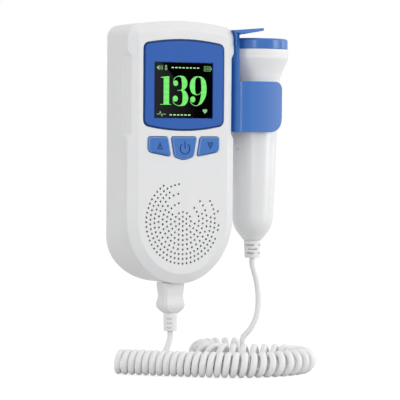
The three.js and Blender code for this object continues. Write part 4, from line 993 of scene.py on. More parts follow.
# Case screws, numbered from the upper left to the lower right
def caseScrews():
    head, seat, tip = screw["head"], screw["seat"], screw["tip"]
    dome = [(head * math.cos(a), seat + screw["rim"] + screw["dome"] * math.sin(a))
            for a in (math.pi / 2 * k / 8 for k in range(8))]
    profile = [(0, tip), (screw["tipRadius"], tip), (screw["radius"], tip + screw["point"]),
               (screw["radius"], seat), (head, seat)] + dome + [(0, seat + screw["height"])]
    long, thin = screw["slotReach"], screw["slotHalf"]
    for i, (x, z) in enumerate(sorted(pillar["places"], key=lambda place: (-place[1], place[0])), 1):
        piece = lathe(f"case_screw_head_{i}", profile, facing(x, z), 40)
        carve(piece, [block("slot", (x - a, seat + screw["slotFloor"], z - b), (x + a, seat + 3, z + b))
                      for a, b in ((long, thin), (thin, long))])
        dress(piece, screwSteel, "steel", "case", f"case_screw_{i}")


caseScrews()
print("battery door and screws made")


# Display frame with painted shade along its rim, and the window in it
def displayFrame():
    front = case["front"] - display["proud"]
    back = front + display["thickness"]
    levels = edgeLevels(front, back, display["edge"], 5)
    levels.append((front - display["shadeBandRise"], -display["edge"] - display["shadeBand"]))
    rim = plate("display_frame", frameCorners(), levels, 10)
    lip = display["lip"]
    carve(rim, [plate("hole", grow(windowCorners, display["gap"]), [
        (front - overrun, lip), (front, lip), (front + lip, 0), (back + overrun, 0)])])
    dress(evenNormals(rim), frameAbs, "blue_shell", "case", "display_bezel")
    # Painted shade: navy on the frame's rounded edge and the band round it, away from the window
    plain = display["plain"]
    paint(rim, edgeShadeInk, lambda middle, normal: normal.y > -0.9999 and not (
        abs(middle.x) <= display["windowHalf"] + plain
        and display["windowFoot"] - plain < middle.z < display["windowTop"] + plain))
    glass = plate("display_window", windowCorners,
                  edgeLevels(display["glassFront"], display["glassBack"], display["glassEdge"], 3))
    dress(evenNormals(glass), acrylic, "display_lens", "case", "display_lens")


# What the screen shows. The lit shapes lie on the window's face.
screen = {
    "left": -display["windowHalf"], "top": display["windowTop"], "width": 2 * display["windowHalf"],
    "height": display["windowTop"] - display["windowFoot"], "front": -27.13, "back": -27.02,
    # As shares of its width: what glow adds to a stroke, the thinnest stroke and a sign's line
    "glowSpread": 0.012, "hairline": 0.009, "line": 0.008,
    # Dashes: how much of their pitch they fill, and half their height
    "dashFill": 0.62, "dashHalf": 0.0095,
}


# Shares of the window, from its upper left corner, to a point on it
def screenPoint(x, y, front=True):
    return (screen["left"] + x * screen["width"], screen["front" if front else "back"],
            screen["top"] - y * screen["height"])


# Thin lit shape from its outline in shares of the window
def litShape(points):
    return loft("lit", [[screenPoint(x, y, front) for x, y in points] for front in (True, False)])


# Stroke of changing width through (x, y, width) points, as quads along a smooth path
def litStroke(path, samples=14):
    fine = splinePath(path, samples)
    aspect = screen["height"] / screen["width"]
    left, right = [], []
    for i, p in enumerate(fine):
        ahead, behind = fine[min(i + 1, len(fine) - 1)], fine[max(i - 1, 0)]
        way = Vector(((ahead.x - behind.x), (ahead.y - behind.y) * aspect)).normalized()
        off = Vector((-way.y, way.x / aspect)) * p.z / 2
        left.append((p.x + off.x, p.y + off.y))
        right.append((p.x - off.x, p.y - off.y))
    rings = [[screenPoint(*a, True), screenPoint(*b, True), screenPoint(*b, False), screenPoint(*a, False)]
             for a, b in zip(left, right)]
    return loft("stroke", rings)


def litDisc(x, y, radius, sides=32):
    aspect = screen["width"] / screen["height"]
    return litShape([(x + radius * math.cos(a), y + radius * aspect * math.sin(a))
                     for a in roundAngles(sides)])


def litBar(x0, x1, y0, y1):
    return litShape([(x0, y0), (x1, y0), (x1, y1), (x0, y1)])


# Makes a lit shape thick, so that it can cut another
def asCutter(shape):
    middle = (screen["front"] + screen["back"]) / 2
    for vertex in shape.data.vertices:
        vertex.co.y += math.copysign(0.5 * mm, vertex.co.y / mm - middle)
    return shape


def litRing(x, y, radius, hole, sides=20):
    return carve(litDisc(x, y, radius, sides), [asCutter(litDisc(x, y, hole, sides))])


def litPiece(name, shapes, light=greenLight):
    whole = carve(shapes[0], shapes[1:], "UNION") if len(shapes) > 1 else shapes[0]
    whole.name = name
    return dress(whole, light, "display_lens", "case")


# Stroke of a large figure, drawn thinner by what its glow adds
def figureStroke(path):
    return litStroke([(x, y, max(width - screen["glowSpread"], screen["hairline"]))
                      for x, y, width in path])


# Three fat-faced figures across the middle of the screen
def numerals():
    litPiece("figure_one", [
        litBar(0.151, 0.245, 0.266, 0.760),
        litShape([(0.092, 0.274), (0.124, 0.260), (0.2455, 0.247), (0.2455, 0.300), (0.1505, 0.300),
                  (0.1505, 0.281)]),
        litShape([(0.137, 0.759), (0.1505, 0.744), (0.2455, 0.744), (0.259, 0.759)]),
        litBar(0.092, 0.279, 0.752, 0.762),
    ])
    litPiece("figure_three", [
        figureStroke([
            (0.317, 0.358, 0.02), (0.334, 0.290, 0.018), (0.385, 0.250, 0.018), (0.442, 0.249, 0.034),
            (0.490, 0.290, 0.086), (0.511, 0.373, 0.106), (0.494, 0.450, 0.078), (0.452, 0.492, 0.022),
            (0.388, 0.503, 0.010)]),
        figureStroke([
            (0.420, 0.499, 0.010), (0.448, 0.499, 0.020), (0.500, 0.535, 0.074), (0.526, 0.635, 0.109),
            (0.503, 0.728, 0.084), (0.452, 0.769, 0.034), (0.395, 0.774, 0.018), (0.335, 0.742, 0.018),
            (0.308, 0.685, 0.02)]),
        litDisc(0.357, 0.372, 0.041),
        litDisc(0.352, 0.650, 0.044),
    ])
    litPiece("figure_nine", [
        figureStroke([
            (0.750, 0.245, 0.016), (0.694, 0.268, 0.046), (0.658, 0.330, 0.088), (0.647, 0.421, 0.102),
            (0.660, 0.508, 0.086), (0.696, 0.561, 0.040), (0.736, 0.574, 0.014), (0.776, 0.555, 0.012),
            (0.806, 0.512, 0.012)]),
        figureStroke([
            (0.744, 0.245, 0.016), (0.802, 0.270, 0.050), (0.836, 0.340, 0.092), (0.848, 0.468, 0.103),
            (0.838, 0.585, 0.098), (0.800, 0.700, 0.062), (0.745, 0.763, 0.026), (0.698, 0.774, 0.018),
            (0.638, 0.744, 0.018), (0.611, 0.690, 0.02)]),
        litDisc(0.655, 0.660, 0.044),
    ])


def dashes(name, x0, x1, y, count):
    fill, half = screen["dashFill"], screen["dashHalf"]
    pitch = (x1 - x0) / (count - 1 + fill)
    bars = [litBar(x0 + i * pitch, x0 + (i + fill) * pitch, y - half, y + half) for i in range(count)]
    litPiece(name, bars, paleLight)


# Battery: a shell with its pole and three bars of charge
def batteryIcon():
    x0, x1, y0, y1, edge = 0.845, 0.962, 0.052, 0.148, 0.012
    inset, pitch, width = 0.022, 0.029, 0.018
    shell = carve(litBar(x0, x1, y0, y1), [asCutter(litBar(x0 + edge, x1 - edge, y0 + edge, y1 - edge))])
    bars = [litBar(x0 + inset + i * pitch, x0 + inset + width + i * pitch, y0 + inset, y1 - inset)
            for i in range(3)]
    litPiece("battery_sign", [shell, litBar(x1 - 0.001, x1 + 0.018, 0.074, 0.126)] + bars, dimLight)


# A loudspeaker with a figure for the volume, and a pulse and a heart beside the other readings
def smallSigns():
    thin = screen["line"]
    waves = [litStroke([(x, 0.095 - rise, thin), (x + bow, 0.095, thin), (x, 0.095 + rise, thin)], 6)
             for x, bow, rise in ((0.094, 0.009, 0.027), (0.115, 0.014, 0.043))]
    litPiece("volume_sign", [
        litBar(0.036, 0.053, 0.078, 0.112),
        litShape([(0.052, 0.078), (0.076, 0.048), (0.076, 0.142), (0.052, 0.112)])] + waves, signLight)
    litPiece("volume_figure", [litRing(0.190, 0.068, 0.0165, 0.0075), litRing(0.190, 0.116, 0.0190, 0.0095)],
             signLight)
    line = [(0.036, 0.932), (0.078, 0.932), (0.096, 0.880), (0.122, 0.972), (0.138, 0.932), (0.192, 0.932)]
    pulse = [litStroke([(*a, thin), (*b, thin)], 2) for a, b in zip(line, line[1:])]
    litPiece("pulse_sign", pulse, signLight)
    aspect, size = screen["width"] / screen["height"], 0.0025
    heart = []
    for a in roundAngles(40):
        x = 16 * math.sin(a) ** 3
        y = 13 * math.cos(a) - 5 * math.cos(2 * a) - 2 * math.cos(3 * a) - math.cos(4 * a)
        heart.append((0.868 + x * size, 0.872 - y * size * aspect))
    litPiece("heart_sign", [litShape(heart)], signLight)


displayFrame()
numerals()
dashes("volume_dashes", 0.285, 0.762, 0.0905, 8)
dashes("level_dashes", 0.256, 0.614, 0.944, 6)
batteryIcon()
smallSigns()
print("display made")


# Signs engraved in the keys: triangles, and a ring with a bar for power. zone is where they lie.
sign = {
    "lip": 0.14, "painted": 0.16, "zoneTop": -24.2, "zoneFoot": -31.4, "zoneHalf": 4,
    "up": {"x": -14.4, "way": 1, "zone": 14.7}, "down": {"x": 15.4, "way": -1, "zone": 14.7},
    "power": {"x": 0.3, "z": -28.7, "radius": 2.75, "half": 0.32, "gap": 38,
              "barTop": -24.9, "barFoot": -28.6, "zone": 0},
    "z": -27.3, "outer": (1.95, 1.75, 1.75), "inner": (0.15, 0.62, 1.0), "corner": 0.15,
}


# Corners of a triangle in a side key, from (tip, half width, foot) measured from its middle
def arrowCorners(name, size):
    (tip, half, foot), x, way = size, sign[name]["x"], sign[name]["way"]
    base = sign["z"] - way * foot
    return [(x, sign["z"] + way * tip, sign["corner"]), (x - half, base, sign["corner"]),
            (x + half, base, sign["corner"])]


# Cutters for the sign in a key's face
def keySign(name):
    face = case["front"] - key["proud"]
    floor = (face + key["engraving"], 0)
    if name != "power":
        lip = sign["lip"]
        levels = [(face - overrun, lip), (face, lip), (face + lip, 0), floor]
        land = plate("land", arrowCorners(name, sign["inner"]), [(face - 2, 0), (face + 1, 0)])
        return [carve(plate("sign", arrowCorners(name, sign["outer"]), levels), [land])]
    power = sign["power"]
    x, z, half = power["x"], power["z"], power["half"]
    angles = [math.radians(90 + power["gap"] + (360 - 2 * power["gap"]) * k / 48) for k in range(49)]
    outer, inner = ([(x + reach * math.cos(a), z + reach * math.sin(a), 0) for a in angles]
                    for reach in (power["radius"] + half, power["radius"] - half))
    bar = [(x - half, power["barTop"], 0.2), (x + half, power["barTop"], 0.2),
           (x + half, power["barFoot"], 0.2), (x - half, power["barFoot"], 0.2)]
    return [plate("sign", outline, [(face - overrun, 0), floor]) for outline in (outer + inner[::-1], bar)]


# Key with a navy sign, and a rim in a lighter, glossier blue that is a painted highlight
def makeKey(name):
    face = case["front"] - key["proud"]
    levels = [(key["rear"], key["flange"]), (key["flangeFront"], key["flange"])]
    levels += edgeLevels(face, key["flangeFront"], key["edge"], 5)
    cap = plate(f"key_{name}", grow(keyOutlines[name], -key["slack"]), levels)
    carve(cap, keySign(name))
    dress(evenNormals(cap), keyAbs, "blue_shell", f"button_{name}", f"button_{name}")
    painted, floor = face + sign["painted"], face + key["engraving"] + 0.02

    def signed(middle):
        beside = abs(abs(middle.x) - sign[name]["zone"])
        return sign["zoneFoot"] < middle.z < sign["zoneTop"] and beside < sign["zoneHalf"]

    paint(cap, navyPaint, lambda middle, normal: signed(middle) and painted < middle.y < floor)
    # Painted highlight: the rounded rim gets the lighter blue
    paint(cap, rimHighlightAbs, lambda middle, normal: not signed(middle) and -0.975 < normal.y < -0.1)


for name in keyOutlines:
    makeKey(name)
print("keys made")

# Probe holder: a cuff round the grip, a finger plate up the case's side and a thumb tab
holder = {
    "left": 31.7, "plate": 1.8, "near": -27.7, "rear": 4.3, "free": 59.6, "top": 6.1, "foot": -20.2,
    "rim": 2.5, "rimDepth": 8, "bend": 8, "rearBend": 5, "topCorner": 4.6, "footCorner": 8,
    "plateDepth": 18, "edge": 0.3, "crownAt": 48, "crownRadius": 260,
    "tabTip": 47.8, "tabTop": 32.2, "tabRise": 1.6, "tabThickness": 1.4, "tabRoot": 2.3, "overhang": 2.4,
    "fillet": 1.6, "tabFoot": 1.2,
    # Its key in the case's recess: how high it reaches, and its (depth, distance off the seat) corners
    "keyTop": 15.9, "key": [(-20.5, 0.1), (-23.7, 0.1), (-23.7, 0.5), (-20.5, 0.5)],
    "padOff": 0.3, "padRear": recess["rear"] - 0.4, "padFront": recess["front"] + 3.9, "padReach": 0.9,
    # Room that it leaves for the case and for the ramp of the recess
    "room": 0.3, "ramp": [(28.5, -29), (29.6, recess["front"]), (case["halfWidth"], recess["rear"]),
                          (40, -19), (40, -29)],
}


# Depth of the cuff's front at x, which bulges a little
def cuffFront(x):
    return holder["near"] + (x - holder["crownAt"]) ** 2 / holder["crownRadius"] / 2


# X of the seat in the case's recess at a depth, with a distance off it
def recessSeat(y, off):
    slope = recess["cut"] / (recess["rear"] - recess["front"])
    return case["halfWidth"] - (recess["rear"] - y) * slope + off


# Upright bar through an outline in X and Y
def column(name, outline, low, high):
    return loft(name, [[(x, y, z) for x, y in outline] for z in (low, high)])


# The cuff: a bent plate round the grip, trimmed at its free corners
def holderCuff():
    left, width, near, rear = holder["left"], holder["plate"], holder["near"], holder["rear"]
    free, top, foot, bend, rearBend = (holder[k] for k in ("free", "top", "foot", "bend", "rearBend"))
    across = [lerp(free, left + bend + 0.5, i / 16) for i in range(17)]
    inward = [x for x in reversed(across) if x > left + width + bend]
    corner = cuffFront(left + bend) + 0.5
    section = [(x, cuffFront(x), 0) for x in across]
    section += [(left, corner, bend), (left, rear, rearBend), (free, rear, 0), (free, rear - width, 0),
                (left + width, rear - width, rearBend - width), (left + width, corner + width, bend - width)]
    section += [(x, cuffFront(x) + width, 0) for x in inward]
    cuff = column("probe_clip", roundedOutline(section, 12), foot, top)
    trim = plate("trim", [(free, top, holder["topCorner"]), (left - 1, top, 0), (left - 1, foot, 0),
                          (free, foot, holder["footCorner"])],
                 [(near - overrun, 0), (rear + overrun, 0)], 14)
    return carve(cuff, [trim], "INTERSECT")


# The finger plate up the case's side, which ends in the thumb tab
def fingerPlate():
    left, width, near, rear = holder["left"], holder["plate"], holder["near"], holder["rear"]
    free, foot, bend, overhang = (holder[k] for k in ("free", "foot", "bend", "overhang"))
    tabTop, tip, tabEnd = holder["tabTop"], holder["tabTip"], holder["tabTop"] + holder["tabRise"]
    under, low = tabTop - holder["tabRoot"], tabTop - holder["tabFoot"]
    finger = plate("finger", [
        (left, foot, 0), (left + width, foot, 0), (left + width, under, holder["fillet"]),
        (tip, tabEnd - holder["tabThickness"], 0.5), (tip, tabEnd, 0.5), (left - overhang, tabTop, 0.6),
        (left - overhang, under - overhang, 0), (left, under - 2 * overhang, 0),
    ], [(near, 0), (near + holder["plateDepth"], 0)])
    rim = block("rim", (left + 1, near, foot),
                (left + holder["rim"], near + holder["rimDepth"], under + 0.4))
    carve(finger, [rim], "UNION")
    corner, reach = cuffFront(left + bend) + 0.5, left - overhang - 1
    outline = [(free, near, 0), (left + bend + 1, cuffFront(left + bend + 1), 0), (left, corner, bend),
               (left, rear, 0), (free, rear, 0)]
    shape = column("column", roundedOutline(outline, 12), foot, low)
    crossbar = block("crossbar", (reach, near - overrun, low), (free, rear, tabEnd + overrun))
    wedge = block("wedge", (reach, near + 1.2, under - 2 * overhang - 1), (left + 0.5, rear, tabTop))
    carve(shape, [crossbar, wedge], "UNION")
    return carve(finger, [shape], "INTERSECT")


def probeHolder():
    foot, keyTop, left, room = holder["foot"], holder["keyTop"], holder["left"], holder["room"]
    cuff = holderCuff()
    off = holder["padOff"] * math.hypot(1, recess["cut"] / (recess["rear"] - recess["front"]))
    rear, front = holder["padRear"], holder["padFront"]
    reach = left + holder["padReach"]
    pad = column("pad", [(recessSeat(rear, off), rear), (recessSeat(front, off), front),
                         (reach, front), (reach, rear)], foot, keyTop)
    carve(cuff, [fingerPlate(), pad], "UNION")
    # The key fills the recess's slope up to the case, as a piece of its own
    lining = [(recessSeat(y, gap), y) for y, gap in holder["key"]]
    dress(column("holder_key", lining, foot, keyTop), blueAbs, "blue_shell", "case")
    body = caseSkin("room", [(y, -room, case["frontTail"] + room) for y in (-60, 20)], cut=False)
    ramp = loft("ramp", [[(x + shift, y, z) for x, y in holder["ramp"]] for z, shift in (
        (foot - 3, 0), (recess["top"] + 0.2, 0), (recess["top"] + recess["ramp"] + 0.2, recess["cut"]))])
    carve(body, [ramp])
    carve(cuff, [body])
    soften(cuff, holder["edge"])
    return dress(cuff, blueAbs, "blue_shell", "case", "probe_holder")


# Rounds the sharp edges of a piece
def soften(piece, width, segments=3, angle=40):
    edge = piece.modifiers.new("softEdge", "BEVEL")
    edge.width = width * mm
    edge.segments = segments
    edge.limit_method = "ANGLE"
    edge.angle_limit = math.radians(angle)
    edge.miter_outer = "MITER_ARC"
    edge.harden_normals = True


probeHolder()
print("holder made")

# Probe: half shells, cap, sensing face and strain relief
probe = {
    "x": 52.0, "y": -11.7, "split": -31.5, "cuffTop": 6.1, "capTop": 29.0, "capFoot": 23.2,
    "head": 18.2, "grip": 13.9, "mid": 12.5, "foot": 10.5, "end": 4.7, "bulge": 19.8,
    "midZ": -20.7, "footZ": -69.7, "endZ": -77.1, "wall": 1.8, "seam": 0.07,
    "waist": (11.7, -45), "bore": 3.2, "lighterSatinBelowTop": 3,
    # Shares of the step from grip to head in radius, at shares of its height
    "neck": [(0.97, 0.86), (0.605, 0.61), (0.2, 0.31), (0.05, 0.12), (0, 0)],
}
probeAxis = upright(probe["x"], probe["y"], probe["split"])


def handleProfile():
    grip, head, capFoot, endZ = probe["grip"], probe["head"], probe["capFoot"], probe["endZ"]
    low, high = probe["cuffTop"], probe["bulge"]
    neck = [(grip + (head - grip) * out, low + 0.3 + (high - low) * up) for out, up in probe["neck"]]
    bulb = splinePath([
        (head - 0.25, capFoot - 0.15), (head - 0.1, capFoot - 0.3), (head, 21.6), (head - 0.05, high),
        *neck, (probe["mid"], probe["midZ"]), probe["waist"]], 6)
    tail = roundedOutline([
        (*probe["waist"], 0), (probe["foot"] + 0.05, probe["footZ"], 4.5), (probe["end"] + 0.1, endZ, 0.8),
        (probe["bore"], endZ, 0)], 10, closed=False)
    return [tuple(p) for p in bulb[:-1]] + tail


def probeShells():
    skin, wall, bore = handleProfile(), probe["wall"], probe["bore"]
    lining = [(r - wall, z) for r, z in skin if r > probe["end"] + 1.5]
    floor = probe["endZ"] + wall
    profile = skin + [(bore, floor), (bore + 1, floor)] + lining[::-1]
    seam = math.degrees(probe["seam"] / probe["grip"])
    # The change from the polished grip to the satin head, painted a shade lighter, lies inside the cuff
    lighterSatinFrom = probe["cuffTop"] - probe["lighterSatinBelowTop"]
    for side, name in ((0, "rear"), (180, "front")):
        shell = lathe(f"probe_handle_{name}", profile, probeAxis, 72, 40, side + seam / 2, 180 - seam)
        dress(evenNormals(shell), polishedAbs, "white_shell", "probe", f"probe_shell_{name}")
        # The head's lighter colour is painted light
        paint(shell, lighterSatinAbs, lambda middle, normal: middle.z > lighterSatinFrom)


# Cap ring round the head's end, and the slightly domed face in it
def probeCap():
    r, top, foot = probe["head"] - 0.35, probe["capTop"] - 0.35, probe["capFoot"] - 0.1
    face, gap, depth, dome = 14, 0.3, 1.4, 0.2
    outer = roundedOutline([
        (r - 0.25, foot, 0), (r, foot + 0.25, 0.2), (r + 0.02, foot + 2.5, 2), (r, top, 1.5),
        (face + gap, top, 0.3), (face + gap, top - depth, 0)], 8, closed=False)
    inner = r - probe["wall"]
    ring = lathe("probe_cap_ring", outer + [(inner, top - depth - gap), (inner, foot)], probeAxis, 96, 40)
    dress(evenNormals(ring), blueAbs, "blue_shell", "probe", "probe_cap")
    profile = [(face * k / 10, top + dome * (1 - (k / 10) ** 2)) for k in range(10)]
    profile += [(face - 0.15, top), (face, top - 0.15), (face, top - depth), (0, top - depth)]
    sensor = lathe("probe_sensing_face", profile, probeAxis, 96)
    dress(sensor, faceResin, "sensing_face", "probe", "probe_face")


# Strain relief: a tapered sleeve round the cord with rows of slots, each (z, turn, sweep, depth, height)
def cordRelief(name, axis, start, length, radius, endRadius, slots, neck=None):
    end, bore = start - length, 1.55
    outer = roundedOutline([(0, start, 0), (radius, start, 0.15), (endRadius, end, 0.35), (bore, end, 0)],
                           5, closed=False)
    profile = [(0, start)] + refined(outer[1:], 0.6) + [(0, end)]
    if neck:
        profile = [(0, neck["top"]), (neck["flange"], neck["top"]), (neck["flange"], neck["flangeFoot"]),
                   (neck["radius"], neck["flangeFoot"]), (neck["radius"], start)] + profile[1:]
    piece = lathe(name, profile, axis)
    cutters = []
    for z, turn, sweep, depth, height in slots:
        r = lerp(radius, endRadius, (start - z) / length)
        low, high = z - height / 2, z + height / 2
        ring = roundedOutline([(r - depth, low, 0.2), (r + 1, low, 0), (r + 1, high, 0),
                               (r - depth, high, 0.2)], 4)
        cutters.append(lathe("slot", ring, axis, 24, 32, turn - sweep / 2, sweep))
    return evenNormals(carve(piece, cutters))


def probeRelief():
    start = probe["endZ"] - 0.06
    # Slots of the outer rows lie side by side, those of the middle row between them
    slots = []
    for back in (0, 180):
        slots.append((start - 4.6, 273 + back, 78, 1.6, 0.6))
        for z in (start - 2.4, start - 6.75):
            slots += [(z, 246 + back, 68, 2.0, 0.9), (z, 330 + back, 30, 2.0, 0.9)]
    neck = {"top": -73.8, "flange": 3.6, "flangeFoot": -75.0, "radius": 2.6}
    relief = cordRelief("probe_cord_relief", probeAxis, start, 9.2, 4.5, 3.95, slots, neck)
    dress(relief, whitePvc, "soft_white", "probe", "probe_strain_relief")


probeShells()
probeCap()
probeRelief()
print("probe made")

# Plug: a moulded body with a raised panel, and its strain relief
plugBody = {
    "top": -97.8, "foot": -113.4, "width": 12.2, "depth": 9.2, "corner": 1.3, "rows": 64,
    # Shares of its width and depth at shares of its length
    "heights": [0, 0.2, 0.42, 0.55, 0.68, 0.80, 0.90, 0.97, 1],
    "widths": [1, 0.965, 0.905, 0.955, 1.03, 0.985, 0.80, 0.62, 0.52],
    "depths": [1, 0.965, 0.905, 0.96, 1.04, 1.0, 0.86, 0.73, 0.66],
    "panelHalf": 0.86, "panelRise": 0.6, "panelFoot": 1.0, "panelRound": 0.2, "panelEdge": 0.35,
    "reliefLength": 9.2, "reliefTop": 3.6, "reliefEnd": 3.4, "slotFrom": 2.8, "slotPitch": 2.35,
}


def shareAt(table, share):
    heights = plugBody["heights"]
    last = len(heights) - 1
    i = next(k for k in range(last) if share <= heights[k + 1])
    around = (table[k] for k in (max(i - 1, 0), i, i + 1, min(i + 2, last)))
    return splineAt(*around, (share - heights[i]) / (heights[i + 1] - heights[i]))


# Height of the case's underside at a point
def caseFoot(x, y):
    parting = case["parting"] + case["seam"]
    share = clamp((y - parting) / (-case["rearRound"] - parting))
    high = lerp(case["frontTail"], case["rearTail"], share)
    return case["tail"] + high * (1 - math.sqrt(1 - (x / case["halfWidth"]) ** 2))


# Half width and half depth of the plug at a share of its length, less its rounded ends
def plugHalves(share):
    inset = 0.25 * (1 - smooth(share * 30)) + 0.3 * smooth((share - 0.97) * 33)
    return (plugBody["width"] / 2 * shareAt(plugBody["widths"], share) - inset,
            plugBody["depth"] / 2 * shareAt(plugBody["depths"], share) - inset)


# How far the panel stands proud on the front, with a round foot
def panelRise(x, y, share, half, deep):
    low = max(0.0, (share - plugBody["panelFoot"] + plugBody["panelRound"]) / plugBody["panelRound"])
    reach = plugBody["panelHalf"] * plugBody["width"] / 2 * min(1, half / 5.4)
    reach *= math.sqrt(max(0.0, 1 - low ** 2))
    within = smooth((reach - abs(x)) / plugBody["panelEdge"])
    return plugBody["panelRise"] * within * smooth((-y / deep - 0.75) * 6)


def makePlug():
    shares = [i / plugBody["rows"] for i in range(plugBody["rows"] + 1)]
    outlines = []
    for half, deep in map(plugHalves, shares):
        corner = plugBody["corner"] * min(1, half / 4)
        outline = roundedOutline([(half, deep, corner), (-half, deep, corner), (-half, -deep, corner),
                                  (half, -deep, corner)], 10)
        outlines.append(refined(outline + [outline[0]], 0.35)[:-1])
    count = max(map(len, outlines))
    skin = []
    for outline, share in zip(outlines, shares):
        half, deep = plugHalves(share)
        row = []
        for x, y in evenLoop(outline, count):
            if y < 0:
                y -= panelRise(x, y, share, half, deep)
            lift = (caseFoot(x, plug["y"] + y) - case["tail"]) * (1 - smooth(share * 12))
            row.append((x, plug["y"] + y, lerp(plugBody["top"], plugBody["foot"], share) + lift))
        skin.append(row)
    body = dress(loft("plug_shell", skin, 50), plugPvc, "soft_white", "plug", "plug_body")
    start = plugBody["foot"] + 0.2
    slots = [(start - plugBody["slotFrom"] - plugBody["slotPitch"] * i, turn, 48, 1.1, 0.8)
             for i in range(3) for turn in (230, 50)]
    relief = cordRelief("plug_cord_relief", upright(0, plug["y"]), start, plugBody["reliefLength"],
                        plugBody["reliefTop"], plugBody["reliefEnd"], slots)
    dress(relief, whitePvc, "soft_white", "plug", "plug_strain_relief")
    return body, relief


# The same closed loop with evenly spaced points, from its first point on
def evenLoop(points, count):
    closed = list(points) + [points[0]]
    along = [0]
    for a, b in zip(closed, closed[1:]):
        along.append(along[-1] + math.dist(a, b))
    even, k = [], 0
    for i in range(count):
        target = along[-1] * i / count
        while along[k + 1] < target:
            k += 1
        share = (target - along[k]) / max(along[k + 1] - along[k], 1e-9)
        even.append(tuple(lerp(p, q, share) for p, q in zip(closed[k], closed[k + 1])))
    return even


plugShell, plugRelief = makePlug()
print("plug made")

# Battery cells, which show when the door is open: wrapped cans with bare ends, one upside down
cell = {
    "y": -9.75, "bareRadius": 6, "bareFrom": 0.7, "bareTo": 48.9,
    # (radius, height) from the flat pole to the nipple
    "profile": [(0, 0), (5.6, 0), (5.9, 0.25), (6.75, 0.25), (7.25, 0.8), (7.25, 48.6), (6.75, 49.2),
                (5.4, 49.2), (4.6, 49.5), (2.75, 49.5), (2.75, 50.3), (2.5, 50.5), (0, 50.5)],
    # name: (x, foot, way up)
    "places": {"left": (-7.5, -75.8, 1), "right": (7.5, -29.4, -1)},
}


def batteryCell(name, x, foot, way):
    def bare(middle, normal):
        along = way * (middle.z - foot)
        radius = math.hypot(middle.x - x, middle.y - cell["y"])
        return not cell["bareFrom"] <= along <= cell["bareTo"] or radius < cell["bareRadius"]

    levels = [(radius, foot + way * along) for radius, along in cell["profile"]]
    can = lathe(f"cell_{name}", levels, upright(x, cell["y"]), 56)
    dress(can, sleeve, "cell_wrap", "case", f"battery_cell_{name}")
    paint(can, springSteel, bare)


for name, place in cell["places"].items():
    batteryCell(name, *place)
print("cells made")

# The inner CAD nodes keep their shapes and get the materials of the real goods
inside = [
    (displayCan, "display_module", ["lcd_module"]),
    (ribbonFilm, "ribbon", ["display_ribbon"]),
    (board, "board", ["main_pcb", "probe_board"]),
    (felt, "speaker_cloth", ["speaker_felt"]),
    (paper, "speaker_cloth", ["speaker_cone"]),
    (ferrite, "steel", ["speaker_magnet"]),
    (tinPlate, "steel", ["speaker_basket"] + [f"tact_switch_{side}" for side in keyOutlines]),
    (screwSteel, "steel", [f"board_screw_{number}" for number in range(1, 5)]),
    (springSteel, "contact_metal", ["battery_spring_left", "battery_spring_right", "contact_link",
                                    "contact_left", "contact_right", "plug_tip"]),
    (nylon, "dark_plastic", ["probe_socket"] + [f"switch_plunger_{side}" for side in keyOutlines]),
    (ceramic, "crystal", ["crystal_transmit", "crystal_receive"]),
    (filledEpoxy, "damping_rubber", ["damping_block"]),
]
for material, slot, names in inside:
    for name in names:
        dress(nodes[name], material, slot)
print("inner pieces dressed")


# Plain studio: white floor, white surroundings and soft lamps
studio = {
    "floor": -142.0, "floorHalf": 4000, "ambient": 0.63, "floorShade": 0.35, "bounce": 0.6,
    # name: (spot, aim, width, height, watts)
    "lamps": {
        "rightBox": ((960, -920, 100), (50, 0, -20), 340, 1300, 6.6),
        "cameraStrip": ((-640, -1180, 60), (50, 0, -30), 110, 1100, 3.3),
        "bandStrip": ((1230, -760, 60), (50, 0, -30), 150, 1300, 2.0),
        "leftStrip": ((-1250, -330, 150), (0, 0, -30), 300, 1200, 3.2),
        "rightRim": ((1320, -120, 200), (50, 0, -20), 260, 1200, 2.4),
        "topLamp": ((150, -100, 1200), (0, 0, 0), 800, 800, 1.4),
    },
}


# 1 for the rays from which the surroundings look white, 0 for those that light the unit
def seenRays(tree):
    rays = addNode(tree, "ShaderNodeLightPath").outputs
    seen = rays["Is Camera Ray"]
    for kind in ("Is Glossy Ray", "Is Transmission Ray"):
        seen = addNode(tree, "ShaderNodeMath", {0: seen, 1: rays[kind]}, operation="MAXIMUM").outputs[0]
    return seen


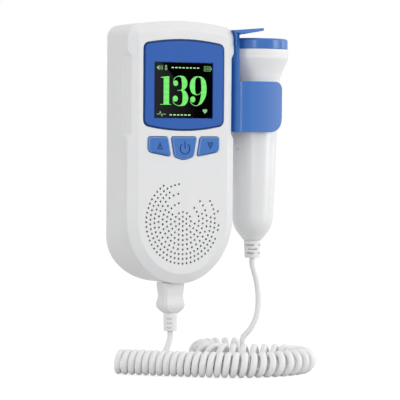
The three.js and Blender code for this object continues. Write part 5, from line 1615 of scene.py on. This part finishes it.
# White paper under the unit. Its own glow makes up for the light that it takes.
def makeFloor():
    half, low, shade, bounce = (studio[k] for k in ("floorHalf", "floor", "floorShade", "bounce"))
    corners = [(-half, -half, low), (half, -half, low), (half, half, low), (-half, half, low)]
    floor = makePiece("floor", corners, [(0, 1, 2, 3)])
    material = bpy.data.materials.new("white_paper_sweep")
    material.use_nodes = True
    tree = material.node_tree
    tree.nodes.clear()
    paperShade = addNode(tree, "ShaderNodeBsdfDiffuse", {"Color": (shade, shade, shade, 1)})
    glow = addNode(tree, "ShaderNodeEmission", {
        "Color": (1, 1, 1, 1), "Strength": 1 - shade * studio["ambient"]})
    both = addNode(tree, "ShaderNodeAddShader", {0: paperShade.outputs[0], 1: glow.outputs[0]})
    lit = addNode(tree, "ShaderNodeBsdfDiffuse", {"Color": (bounce, bounce, bounce, 1)})
    mix = addNode(tree, "ShaderNodeMixShader", {0: seenRays(tree), 1: lit.outputs[0], 2: both.outputs[0]})
    addNode(tree, "ShaderNodeOutputMaterial", {"Surface": mix.outputs[0]})
    floor.data.materials.append(material)


# Surroundings that look white and light the unit more softly
def makeWorld():
    scene.world = bpy.data.worlds.new("studio")
    scene.world.use_nodes = True
    tree = scene.world.node_tree
    tree.nodes.clear()
    white, soft = (addNode(tree, "ShaderNodeBackground", {"Color": (1, 1, 1, 1), "Strength": strength})
                   for strength in (1.0, studio["ambient"]))
    mix = addNode(tree, "ShaderNodeMixShader", {0: seenRays(tree), 1: soft.outputs[0], 2: white.outputs[0]})
    addNode(tree, "ShaderNodeOutputWorld", {"Surface": mix.outputs[0]})


def makeLamp(name, spot, aim, width, height, watts):
    lamp = bpy.data.lights.new(name, "AREA")
    lamp.shape = "RECTANGLE"
    lamp.size, lamp.size_y = width * mm, height * mm
    lamp.energy = watts
    stand = bpy.data.objects.new(name, lamp)
    scene.collection.objects.link(stand)
    stand.location = Vector(spot) * mm
    stand.rotation_mode = "QUATERNION"
    stand.rotation_quaternion = ((Vector(aim) - Vector(spot)) * mm).to_track_quat("-Z", "Y")


makeFloor()
makeWorld()
for name, lamp in studio["lamps"].items():
    makeLamp(name, *lamp)
print("studio made")
